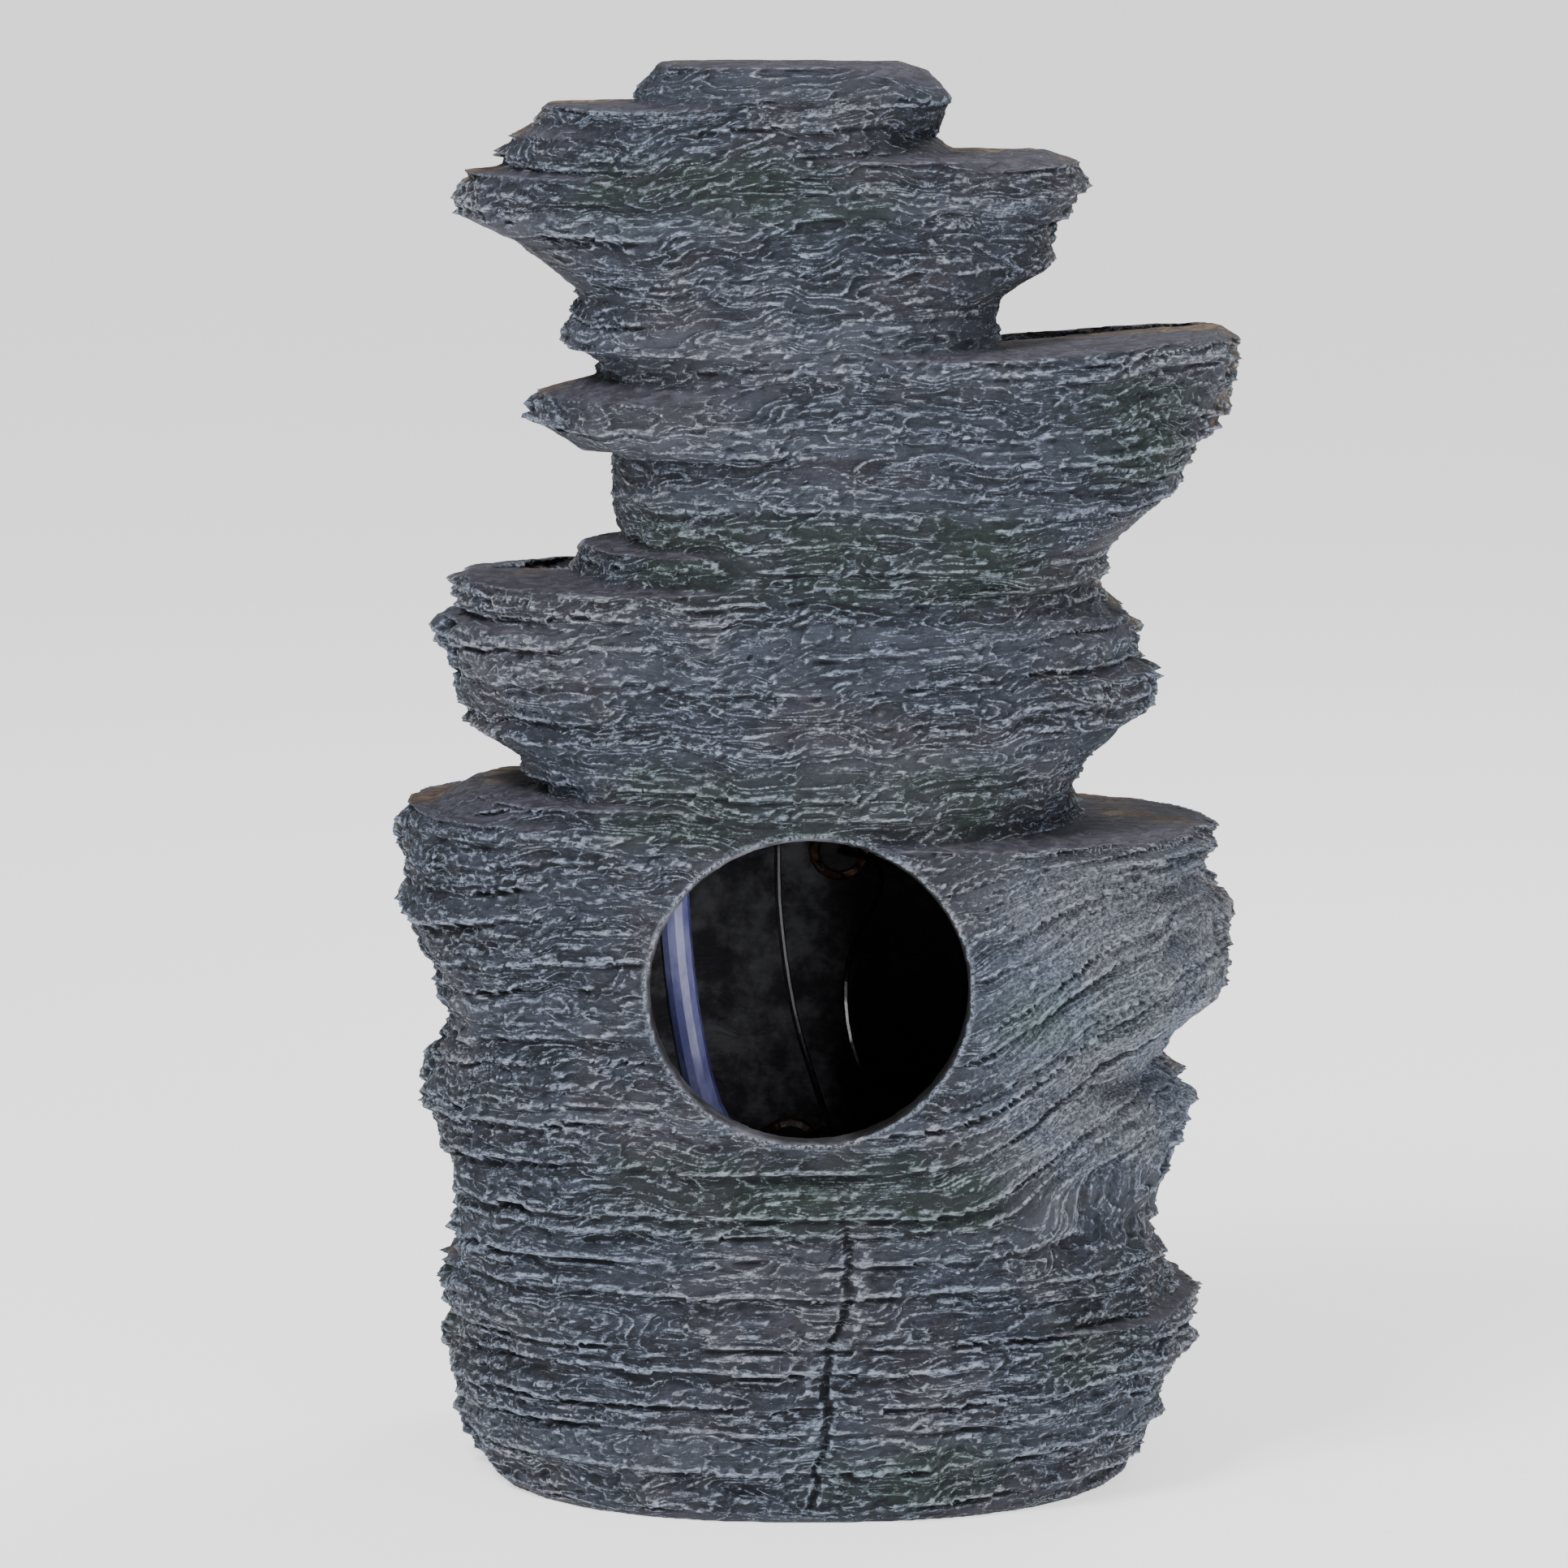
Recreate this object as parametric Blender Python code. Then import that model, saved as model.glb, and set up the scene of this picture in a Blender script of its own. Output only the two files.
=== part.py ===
"""Tabletop water fountain: a hollow cast rock shell in stacked slate layers, with a submersible pump, riser hose, spout and three LED pods inside.

The cascade side faces -Y and the plain back, with its oval service opening, faces +Y. The origin is on the standing surface, under the middle of the outline.
All sizes in the tables below are in millimetres and are turned into metres by MM.
"""

import math

import bmesh
import bpy
from mathutils import Matrix, Vector, noise

for old in list(bpy.data.objects):
    bpy.data.objects.remove(old, do_unlink=True)

MM = 0.001

# ---- driving dimensions, mm -------------------------------------------------
WALL = 8.0  # cast wall of the shell
FLOOR = 9.0  # thickness of the reservoir floor
CAVITY_TOP = 417.0
AROUND = 32  # points round one outline
POWER_LOW, POWER_HIGH = 2.35, 2.8  # 2 is an ellipse, larger is boxier: the base is the rounder

# lengths of the shell, from z to z: over the basin, and just over the floors of the fifth and third pools
SHELL_LENGTHS = (
    ("rock_shell_base", None, 75.0),
    ("rock_shell_lower", 75.04, 119.8),
    ("rock_shell_middle", 119.84, 275.8),
    ("rock_shell_upper", 275.84, None),
)

# service opening in the back wall
OPEN_X, OPEN_Z = 2.2, 165.4
OPEN_HALF_W, OPEN_HALF_H = 49.5, 46.5

# riser hose
HOSE_R, HOSE_BORE_R = 5.0, 4.0
LEAD_R = 1.1
PUMP_LEAD_R = 1.9

# pump placing: the middle of the motor housing's front face, at the height of its underside
PUMP_AT = Vector((12.0, 22.0, FLOOR + 6.6))
AXIS_Z = 20.0  # rotor axis above the pump's underside
PUMP_W, PUMP_H = 38.0, 36.0

# spout
SPOUT_X, SPOUT_Y = 6.0, -25.0
POOL_FLOOR_TOP = 426.0

# LED pods: x, z of the pod's axis, y of its lens face and y of its back end
LEDS = (
    (12.0, 338.0, -55.0, -27.0),
    (-8.0, 190.0, -76.0, -35.0),
    (8.0, 92.0, -59.0, -36.0),
)
POD_R = 7.0

# Outline of the rock at rising heights: z, reach to +X, reach to -X, reach to the back (+Y), reach to the front (-Y).
# Rows one millimetre apart are the flat top or underside of a slate.
SLATES = (
    (0.0, 106.0, 98.5, 99.5, 100.0),
    (4.0, 109.5, 101.5, 102.0, 103.0),
    (16.4, 114.0, 107.0, 103.5, 105.0),
    (33.4, 119.5, 113.5, 103.0, 105.5),
    (44.4, 116.5, 119.0, 102.0, 105.5),
    (55.9, 119.5, 120.5, 101.5, 105.0),
    (57.4, 120.0, 113.0, 101.3, 105.0),
    (67.4, 119.0, 110.5, 100.5, 105.0),
    (68.4, 113.5, 110.3, 100.3, 58.0),
    (88.4, 115.4, 102.5, 98.0, 54.0),
    (103.4, 119.5, 111.0, 96.5, 62.0),
    (109.4, 121.0, 114.5, 96.0, 76.0),
    (116.4, 125.0, 119.3, 95.0, 88.0),
    (124.4, 125.2, 116.5, 94.2, 92.0),
    (133.4, 124.8, 108.0, 93.2, 94.0),
    (134.4, 123.0, 107.6, 93.0, 55.0),
    (147.9, 115.0, 118.0, 91.5, 50.0),
    (154.4, 120.0, 126.0, 91.0, 52.0),
    (163.4, 121.5, 130.0, 90.0, 56.0),
    (174.4, 131.0, 129.0, 89.0, 64.0),
    (182.4, 133.0, 130.0, 88.0, 72.0),
    (190.4, 130.5, 125.0, 87.0, 78.0),
    (202.4, 133.4, 124.5, 85.4, 83.0),
    (208.2, 132.5, 120.0, 84.6, 84.0),
    (209.2, 132.5, 81.5, 84.4, 84.0),
    (214.0, 131.0, 81.0, 83.8, 84.0),
    (215.0, 121.0, 80.5, 83.7, 68.0),
    (220.4, 112.0, 79.5, 83.0, 58.0),
    (221.4, 91.0, 79.5, 82.9, 48.0),
    (231.4, 95.0, 85.0, 82.0, 45.0),
    (240.4, 111.0, 95.5, 81.0, 48.0),
    (244.9, 108.5, 103.5, 80.5, 53.0),
    (256.4, 117.0, 104.0, 79.2, 63.0),
    (263.4, 121.2, 98.0, 78.4, 69.0),
    (268.4, 120.5, 102.0, 77.8, 72.0),
    (273.6, 119.5, 97.0, 77.0, 74.0),
    (274.6, 112.0, 96.0, 76.8, 74.0),
    (280.4, 116.0, 90.0, 76.0, 74.5),
    (286.6, 112.5, 88.0, 75.0, 74.5),
    (287.6, 77.0, 87.5, 74.8, 47.0),
    (297.8, 74.0, 91.0, 73.5, 42.0),
    (298.8, 61.0, 92.5, 73.3, 42.0),
    (311.4, 66.0, 108.5, 72.0, 45.0),
    (327.4, 66.0, 119.6, 70.5, 53.0),
    (328.9, 79.0, 120.5, 70.3, 54.0),
    (335.4, 90.5, 123.2, 70.0, 57.0),
    (344.4, 89.8, 128.5, 69.0, 63.0),
    (349.4, 70.0, 131.5, 68.3, 64.0),
    (355.4, 72.0, 132.6, 67.5, 64.0),
    (358.9, 76.0, 128.0, 67.2, 64.0),
    (359.9, 80.0, 55.5, 67.1, 42.0),
    (365.4, 81.0, 54.5, 66.8, 41.0),
    (375.4, 73.6, 56.5, 66.0, 37.0),
    (383.4, 85.0, 72.0, 64.0, 39.0),
    (392.4, 97.0, 74.0, 62.0, 44.0),
    (400.4, 112.8, 77.8, 60.5, 47.0),
    (405.9, 112.5, 85.5, 59.5, 48.5),
    (413.9, 113.0, 83.5, 58.2, 49.5),
    (414.9, 101.5, 82.5, 58.0, 49.5),
    (419.2, 101.5, 71.0, 57.3, 49.5),
    (420.2, 100.0, 42.5, 57.1, 49.5),
    (425.4, 96.5, 36.0, 56.3, 49.0),
    (428.8, 90.0, 37.5, 55.5, 48.5),
    (435.4, 86.0, 41.5, 54.0, 47.5),
    (436.4, 56.5, 41.3, 53.8, 7.0),
    (441.0, 56.0, 39.0, 52.0, 8.0),
    (445.4, 54.0, 34.0, 50.0, 7.0),
    (448.5, 50.5, 24.0, 48.0, 5.0),
)


# ---- helpers ------------------------------------------------------------------
def material(name, colour, rough, metal=0.0, alpha=1.0):
    m = bpy.data.materials.new(name)
    m.use_nodes = True
    b = m.node_tree.nodes["Principled BSDF"]
    b.inputs["Base Color"].default_value = (*colour, 1.0)
    b.inputs["Roughness"].default_value = rough
    b.inputs["Metallic"].default_value = metal
    b.inputs["Alpha"].default_value = alpha
    return m


def place(bm, name, mat, smooth=True):
    """A bmesh in millimetres becomes an object in metres, with its faces turned out."""
    bmesh.ops.recalc_face_normals(bm, faces=bm.faces)
    bm.transform(Matrix.Scale(MM, 4))
    me = bpy.data.meshes.new(name)
    bm.to_mesh(me)
    bm.free()
    ob = bpy.data.objects.new(name, me)
    bpy.context.scene.collection.objects.link(ob)
    if mat is not None:
        me.materials.append(mat)
    if smooth:
        me.shade_smooth()
        me.set_sharp_from_angle(angle=math.radians(32))
    return ob


def loft(rings):
    """Closed solid through rings of equal point count, capped at both ends."""
    bm = bmesh.new()
    loops = [[bm.verts.new(p) for p in ring] for ring in rings]
    for a, b in zip(loops, loops[1:]):
        for i in range(len(a)):
            j = (i + 1) % len(a)
            bm.faces.new((a[i], a[j], b[j], b[i]))
    bm.faces.new(list(reversed(loops[0])))
    bm.faces.new(loops[-1])
    return bm


def box(lo, hi, bevel=0.0):
    bm = bmesh.new()
    bmesh.ops.create_cube(bm, size=1.0)
    for v in bm.verts:
        v.co = Vector([(lo[k] + hi[k]) / 2 + v.co[k] * (hi[k] - lo[k]) for k in range(3)])
    if bevel:
        bmesh.ops.bevel(bm, geom=list(bm.edges), offset=bevel, segments=2, profile=0.5, affect="EDGES")
    return bm


def round_along(axis, centre, stations, sides=20, turn=0.0):
    """Turned solid: stations are (distance along the axis, radius); centre holds the two other coordinates in X, Y, Z order."""
    rings = []
    for d, r in stations:
        ring = []
        for i in range(sides):
            a = turn + 2 * math.pi * i / sides
            u, v = r * math.cos(a), r * math.sin(a)
            if axis == "X":
                ring.append(Vector((d, centre[0] + u, centre[1] + v)))
            elif axis == "Y":
                ring.append(Vector((centre[0] + u, d, centre[1] + v)))
            else:
                ring.append(Vector((centre[0] + u, centre[1] + v, d)))
        rings.append(ring)
    return loft(rings)


def ring_along(axis, centre, stations, sides=20):
    """Turned ring with a bore: stations are (distance, outer radius or inner radius) round the whole section, in order."""
    bm = bmesh.new()
    loops = []
    for d, r in stations:
        loop = []
        for i in range(sides):
            a = 2 * math.pi * i / sides
            u, v = r * math.cos(a), r * math.sin(a)
            p = {
                "X": (d, centre[0] + u, centre[1] + v),
                "Y": (centre[0] + u, d, centre[1] + v),
                "Z": (centre[0] + u, centre[1] + v, d),
            }[axis]
            loop.append(bm.verts.new(p))
        loops.append(loop)
    for a, b in zip(loops, loops[1:] + loops[:1]):
        for i in range(sides):
            j = (i + 1) % sides
            bm.faces.new((a[i], a[j], b[j], b[i]))
    return bm


def join(*meshes):
    """Several closed shapes in one bmesh, for a cutter or for a union's operand."""
    out = bmesh.new()
    for bm in meshes:
        me = bpy.data.meshes.new("join")
        bm.to_mesh(me)
        bm.free()
        out.from_mesh(me)
        bpy.data.meshes.remove(me)
    return out


def shifted(bm, by):
    bmesh.ops.translate(bm, verts=bm.verts, vec=by)
    return bm


def helper(bm, name):
    ob = place(bm, name, None, smooth=False)
    ob.hide_render = True
    ob.display_type = "WIRE"
    return ob


def boolean(ob, bm, name, operation="DIFFERENCE"):
    tool = helper(bm, name)
    m = ob.modifiers.new(name, "BOOLEAN")
    m.operation = operation
    m.solver = "EXACT"
    m.object = tool
    return ob


def tube(name, points, radius, mat, resolution=2, count=40):
    """Round lead or cord on one smooth curve through the points, in millimetres."""
    line = smooth_line(points, count)
    cu = bpy.data.curves.new(name, "CURVE")
    cu.dimensions = "3D"
    cu.bevel_depth = radius * MM
    cu.bevel_resolution = resolution
    cu.use_fill_caps = True
    sp = cu.splines.new("POLY")
    sp.points.add(len(line) - 1)
    for p, q in zip(sp.points, line):
        p.co = (*(q * MM), 1.0)
    ob = bpy.data.objects.new(name, cu)
    bpy.context.scene.collection.objects.link(ob)
    cu.materials.append(mat)
    return ob


def smooth_line(points, count):
    """Even points along a centripetal curve through the given ones."""
    pts = [Vector(p) for p in points]
    pts = [2 * pts[0] - pts[1]] + pts + [2 * pts[-1] - pts[-2]]
    fine = []
    for i in range(1, len(pts) - 2):
        p0, p1, p2, p3 = pts[i - 1 : i + 3]
        t1 = max((p1 - p0).length, 1e-6) ** 0.5
        t2 = t1 + max((p2 - p1).length, 1e-6) ** 0.5
        t3 = t2 + max((p3 - p2).length, 1e-6) ** 0.5
        for k in range(24):
            t = t1 + (t2 - t1) * k / 24
            a1 = p0 * (t1 - t) / t1 + p1 * t / t1
            a2 = p1 * (t2 - t) / (t2 - t1) + p2 * (t - t1) / (t2 - t1)
            a3 = p2 * (t3 - t) / (t3 - t2) + p3 * (t - t2) / (t3 - t2)
            b1 = a1 * (t2 - t) / t2 + a2 * t / t2
            b2 = a2 * (t3 - t) / (t3 - t1) + a3 * (t - t1) / (t3 - t1)
            fine.append(b1 * (t2 - t) / (t2 - t1) + b2 * (t - t1) / (t2 - t1))
    fine.append(pts[-2])
    run = [0.0]
    for a, b in zip(fine, fine[1:]):
        run.append(run[-1] + (b - a).length)
    out, j = [], 0
    for k in range(count):
        want = run[-1] * k / (count - 1)
        while j < len(run) - 2 and run[j + 1] < want:
            j += 1
        span = max(run[j + 1] - run[j], 1e-9)
        out.append(fine[j].lerp(fine[j + 1], min(1.0, max(0.0, (want - run[j]) / span))))
    return out


# ---- rock outline -----------------------------------------------------------------
ROUGH = 0.022


def reach(z, rows=SLATES):
    """The four reaches at height z, straight between rows."""
    if z <= rows[0][0]:
        return rows[0][1:]
    for a, b in zip(rows, rows[1:]):
        if z <= b[0]:
            t = (z - a[0]) / (b[0] - a[0])
            return tuple(a[k] + (b[k] - a[k]) * t for k in range(1, 5))
    return rows[-1][1:]


def power_at(z):
    return POWER_LOW + (POWER_HIGH - POWER_LOW) * min(1.0, z / 70.0)


def broken(c, s, z):
    """How far a slate's edge stands out of or behind the even outline, from about -1 to 1."""
    n = noise.noise(Vector((2.1 * c + 7.0, 2.1 * s, z * 0.055)))
    n += 0.6 * noise.noise(Vector((5.3 * c, 5.3 * s + 3.0, z * 0.16)))
    calm = 0.35 if s > 0.3 else 1.0  # the back is the plainer side
    return calm * n


def ease(value, low, high):
    t = min(1.0, max(0.0, (value - low) / (high - low)))
    return t * t * (3 - 2 * t)


def lean(p):
    """The slates dip towards the front, and from the second pool up they rise towards -X."""
    dip = 0.05 * max(0.0, 20.0 - p.y) * ease(p.z, 8.0, 75.0)
    rise = 0.085 * max(0.0, -p.x - 58.0) * ease(p.z, 304.0, 349.0)
    return Vector((p.x, p.y, p.z - dip + rise))


def outline(z, four, power, count, rough=0.0, inset=0.0, span=None):
    """Ring at height z through the four reaches, each quarter a superellipse, with the broken edge of a slate. With a span, only the arc between those two angles, ends included."""
    left, right, back, front = four
    cx, cy = (left - right) / 2, (back - front) / 2
    half_x, half_y = (left + right) / 2, (back + front) / 2
    ring = []
    for i in range(count):
        a = math.radians(span[0] + (span[1] - span[0]) * i / (count - 1)) if span else 2 * math.pi * (i + 0.5) / count
        c, s = math.cos(a), math.sin(a)
        r = ((abs(c) / half_x) ** power + (abs(s) / half_y) ** power) ** (-1 / power)
        if rough:
            r *= 1 + rough * broken(c, s, z)
        r -= inset
        ring.append(Vector((cx + r * c, cy + r * s, z)))
    return ring


def trough(rim_z, neck_z, floor_z, top_z, span, rim=5.0, gap=2.0, count=14):
    """Curved pool between a slate's rim and the narrower rock above it, as a closed cutter."""
    arcs = []
    for z, more in ((floor_z, 3.0), (floor_z + 3.0, 0.0), (top_z, 0.0)):
        outer = outline(z, reach(rim_z), power_at(rim_z), count, ROUGH, rim + more, span)
        inner = outline(z, reach(neck_z), power_at(neck_z), count, ROUGH, -gap - more, span)
        arcs.append((outer, inner))
    # only where the ledge is wide enough to hold water
    wide = []
    for i in range(count):
        a = math.radians(span[0] + (span[1] - span[0]) * i / (count - 1))
        way = Vector((math.cos(a), math.sin(a), 0))
        if (arcs[0][0][i] - arcs[0][1][i]).dot(way) > 4.0:
            wide.append(i)
    rings = [[outer[i] for i in wide] + [inner[i] for i in reversed(wide)] for outer, inner in arcs]
    return loft(rings)


# pools that lie beside the hollow: from, to, the neck they stand against, and the side
POOL_WALLS = ((193.0, 232.0, 221.4, "left"), (267.0, 300.0, 288.4, "left"), (340.0, 372.0, 361.4, "right"))


def cavity_reach(z):
    """The shell's inside follows the narrowest outline near that height, less the wall."""
    near = [reach(z + d) for d in range(-11, 12)]
    left, right, back, front = (min(n[k] for n in near) - WALL for k in range(4))
    # beside a pool's water the inside already stands back behind the narrow rock above that pool
    for low, high, neck, side in POOL_WALLS:
        if low <= z <= high:
            if side == "left":
                left = min(left, reach(neck)[0] - WALL)
            else:
                right = min(right, reach(neck)[1] - WALL)
    front = min(front, 46.0 - 0.016 * z)
    if z < 74:
        front = 44.0
    return (left - 1.5, right - 1.5, back, front)


slate_mat = material("slate_resin", (0.085, 0.095, 0.115), 0.75)
black_plastic = material("black_plastic", (0.02, 0.02, 0.022), 0.45)
dark_plastic = material("dark_grey_plastic", (0.05, 0.05, 0.055), 0.5)
clear_vinyl = material("clear_vinyl", (0.5, 0.52, 0.72), 0.15, alpha=0.45)
lead_rubber = material("lead_rubber", (0.012, 0.012, 0.012), 0.35)
steel = material("spring_steel", (0.6, 0.6, 0.6), 0.3, 1.0)
magnet_mat = material("ferrite_magnet", (0.06, 0.06, 0.065), 0.55, 0.3)
ceramic_mat = material("ceramic", (0.85, 0.84, 0.8), 0.2)
rubber_mat = material("rubber", (0.015, 0.015, 0.015), 0.8)
sponge_mat = material("filter_sponge", (0.03, 0.03, 0.035), 1.0)
copper_mat = material("copper_winding", (0.72, 0.35, 0.17), 0.3, 1.0)
iron_mat = material("stator_iron", (0.35, 0.35, 0.36), 0.4, 1.0)
lens_mat = material("led_lens", (0.9, 0.88, 0.8), 0.1, alpha=0.6)
led_mat = material("led_emitter", (0.95, 0.8, 0.3), 0.4)
glue_mat = material("amber_sealant", (0.5, 0.25, 0.06), 0.15)
felt_mat = material("foot_pad", (0.03, 0.03, 0.03), 0.95)


def build_shell():
    rings = [outline(row[0], row[1:], power_at(row[0]), AROUND, ROUGH if 3 < row[0] < 437 else 0.008) for row in SLATES]
    rings = [[lean(p) for p in ring] for ring in rings]
    # bring the whole outline back over the origin, because the broken edges move its box a little
    xs = [p.x for r in rings for p in r]
    ys = [p.y for r in rings for p in r]
    shift = Vector((-(min(xs) + max(xs)) / 2, -(min(ys) + max(ys)) / 2, 0))
    for r in rings:
        for p in r:
            p += shift
    rings_of_rock = rings

    cutters = bpy.data.collections.new("shell_cutters")
    bpy.context.scene.collection.children.link(cutters)

    def cut(bm, name):
        tool = helper(bm, name)
        bpy.context.scene.collection.objects.unlink(tool)
        cutters.objects.link(tool)

    # inside of the casting
    heights = (FLOOR, 13, 40, 62, 78, 100, 120, 138, 160, 185, 189.4, 193.2, 205, 222, 240, 262, 264, 267.4, 285, 300, 322, 337, 340.4, 365, 385, 400, CAVITY_TOP)
    inner = []
    for z in heights:
        four = list(cavity_reach(z))
        if z == FLOOR:
            four = [q - 4 for q in four]
        inner.append(outline(z, four, 2.4 if z < 70 or 330 < z < 370 else 2.6, 24))  # rounder where the outside's corners are
    cut(loft(inner), "cut_cavity")

    # service opening
    rings = []
    for y in (55.0, 125.0):
        ring = []
        for i in range(36):
            a = 2 * math.pi * i / 36
            ring.append(Vector((OPEN_X + OPEN_HALF_W * math.cos(a), y, OPEN_Z + OPEN_HALF_H * math.sin(a))))
        rings.append(ring)
    cut(loft(rings), "cut_service_opening")

    # the top pool round the spout
    top = [outline(z, (6 + hx, hx - 6, hy - 27, 27 + hy), 3.0, 14) for z, hx, hy in ((POOL_FLOOR_TOP, 26, 11.5), (POOL_FLOOR_TOP + 3, 29, 14), (440.0, 29, 14))]
    cut(loft(top), "cut_top_pool")
    # the pools below it, each between a slate's rim and the rock above: rim row, neck row, floor, top of the cut, span in degrees
    cut(trough(358.4, 361.4, 348.4, 370.4, (190, 303), 6.0), "cut_second_pool")
    cut(trough(286.6, 288.4, 275.4, 296.4, (232, 352), 6.0), "cut_third_pool")
    cut(trough(214.0, 221.4, 201.4, 223.4, (212, 330), 5.5, 3.0), "cut_fourth_pool")
    cut(trough(133.4, 134.9, 119.4, 141.4, (208, 332), 6.0), "cut_fifth_pool")
    cut(trough(67.4, 68.9, 24.0, 77.4, (200, 340), 6.5, 4.0, 18), "cut_basin")

    # where the water leaves each pool
    lips = (
        ("cut_top_lip", (-6, -58, 429.4), (18, -36, 438.4)),
        ("cut_second_lip", (-52, -72, 351.4), (-20, -51, 366.9)),
        ("cut_third_lip", (24, -84, 278.4), (56, -60, 292.4)),
        ("cut_fourth_lip", (-30.5, -94, 205.3), (4, -71.5, 217.4)),
        ("cut_fifth_lip", (-14, -106, 123.4), (30, -79, 137.4)),
    )
    for name, lo, hi in lips:
        cut(box(lo, hi), name)

    # the basin drains back to the reservoir round the pump
    cut(box((-34, -68, 30), (34, -38, 48)), "cut_return_slot")

    # holes for the spout and the LED pods
    cut(round_along("Z", (SPOUT_X, SPOUT_Y), [(POOL_FLOOR_TOP - 20, 5.4), (POOL_FLOOR_TOP + 6, 5.4)], 16), "cut_spout_hole")
    for k, (x, z, front, back) in enumerate(LEDS):
        cut(round_along("Y", (x, z), [(front - 40, 8.6), (front + 1.6, 8.6), (front + 1.6, POD_R + 0.35), (back + 25, POD_R + 0.35)], 20), f"cut_led_hole_{k + 1}")

    # The casting is one piece. It is made here as four lengths, so that each can be taken as simple enough blocks for its pools to stay open.
    common = list(cutters.objects)
    for name, low, high in SHELL_LENGTHS:
        ob = place(loft(rings_of_rock), name, slate_mat, smooth=False)
        own = bpy.data.collections.new(name + "_cutters")
        bpy.context.scene.collection.children.link(own)
        for tool in common:
            own.objects.link(tool)
        for end, lo, hi in (("under", -40.0, low), ("over", high, 500.0)):
            if lo is not None and hi is not None:
                tool = helper(box((-200, -180, lo), (200, 180, hi)), f"{name}_{end}")
                bpy.context.scene.collection.objects.unlink(tool)
                own.objects.link(tool)
        m = ob.modifiers.new("cut_all", "BOOLEAN")
        m.operation = "DIFFERENCE"
        m.solver = "EXACT"
        m.operand_type = "COLLECTION"
        m.collection = own
    return shift


build_shell()


# ---- spout and hose ---------------------------------------------------------------
def build_spout():
    c = (SPOUT_X, SPOUT_Y)
    top = POOL_FLOOR_TOP
    bore = 2.6
    # threaded stem with a flange that sits on the pool floor, and a barb for the hose below
    section = (
        (-34.5, bore),
        (-34.5, 3.0),
        (-31.5, 3.7),
        (-30.5, 3.4),
        (-27.5, 3.7),
        (-26.5, 3.45),
        (-23.5, 3.7),
        (-19.0, 3.6),
        (-19.0, 5.0),
        (0.3, 5.0),
        (0.3, 9.5),
        (2.3, 9.0),
        (2.3, 4.6),
        (9.5, 4.2),
        (9.5, bore),
    )
    place(ring_along("Z", c, [(top + d, r) for d, r in section], 18), "spout_fitting", black_plastic)
    # lock nut and rubber washer under the pool floor
    under = CAVITY_TOP
    nut = round_along("Z", c, [(under - 6.7, 9.0), (under - 6.1, 9.6), (under - 2.9, 9.6), (under - 2.3, 9.0)], 6)
    ob = place(nut, "spout_lock_nut", dark_plastic, smooth=False)
    boolean(ob, round_along("Z", c, [(under - 12, 5.35), (under + 3, 5.35)], 18), "cut_nut_bore")
    place(ring_along("Z", c, [(under - 2.0, 5.4), (under - 2.0, 9.4), (under - 0.3, 9.4), (under - 0.3, 5.4)], 18), "spout_washer", rubber_mat)


HOSE_ROUTE = (
    (16.8, 30.0, 56.0),
    (16.8, 30.0, 70.0),
    (19.5, 32.0, 84.0),
    (27.0, 38.0, 105.3),
    (35.0, 44.5, 122.3),
    (40.0, 48.5, 144.3),
    (43.3, 50.5, 169.3),
    (45.0, 50.0, 196.3),
    (45.5, 47.5, 224.3),
    (44.0, 43.0, 254.3),
    (41.0, 36.0, 284.3),
    (36.0, 26.5, 312.3),
    (29.5, 14.0, 338.3),
    (21.5, 0.0, 361.3),
    (13.0, -14.5, 371.3),
    (7.8, -22.5, 381.3),
    (6.0, -25.0, 390.3),
    (6.0, -25.0, 398.3),
    (6.0, -25.0, 406.5),
)


def build_hose():
    line = smooth_line(HOSE_ROUTE, 34)
    sides = 12
    bm = bmesh.new()
    outer, inner = [], []
    up = Vector((0, 1, 0))
    for i, p in enumerate(line):
        t = (line[min(i + 1, len(line) - 1)] - line[max(i - 1, 0)]).normalized()
        if i in (0, len(line) - 1):
            t = Vector((0, 0, 1))
        u = (up - t * up.dot(t)).normalized()
        v = t.cross(u)
        up = u
        for radius, loops in ((HOSE_R, outer), (HOSE_BORE_R, inner)):
            loops.append([bm.verts.new(p + radius * (math.cos(2 * math.pi * k / sides) * u + math.sin(2 * math.pi * k / sides) * v)) for k in range(sides)])
    for loops in (outer, inner):
        for a, b in zip(loops, loops[1:]):
            for k in range(sides):
                m = (k + 1) % sides
                bm.faces.new((a[k], a[m], b[m], b[k]))
    for end in (0, -1):
        for k in range(sides):
            m = (k + 1) % sides
            bm.faces.new((outer[end][k], outer[end][m], inner[end][m], inner[end][k]))
    place(bm, "riser_hose", clear_vinyl)


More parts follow.
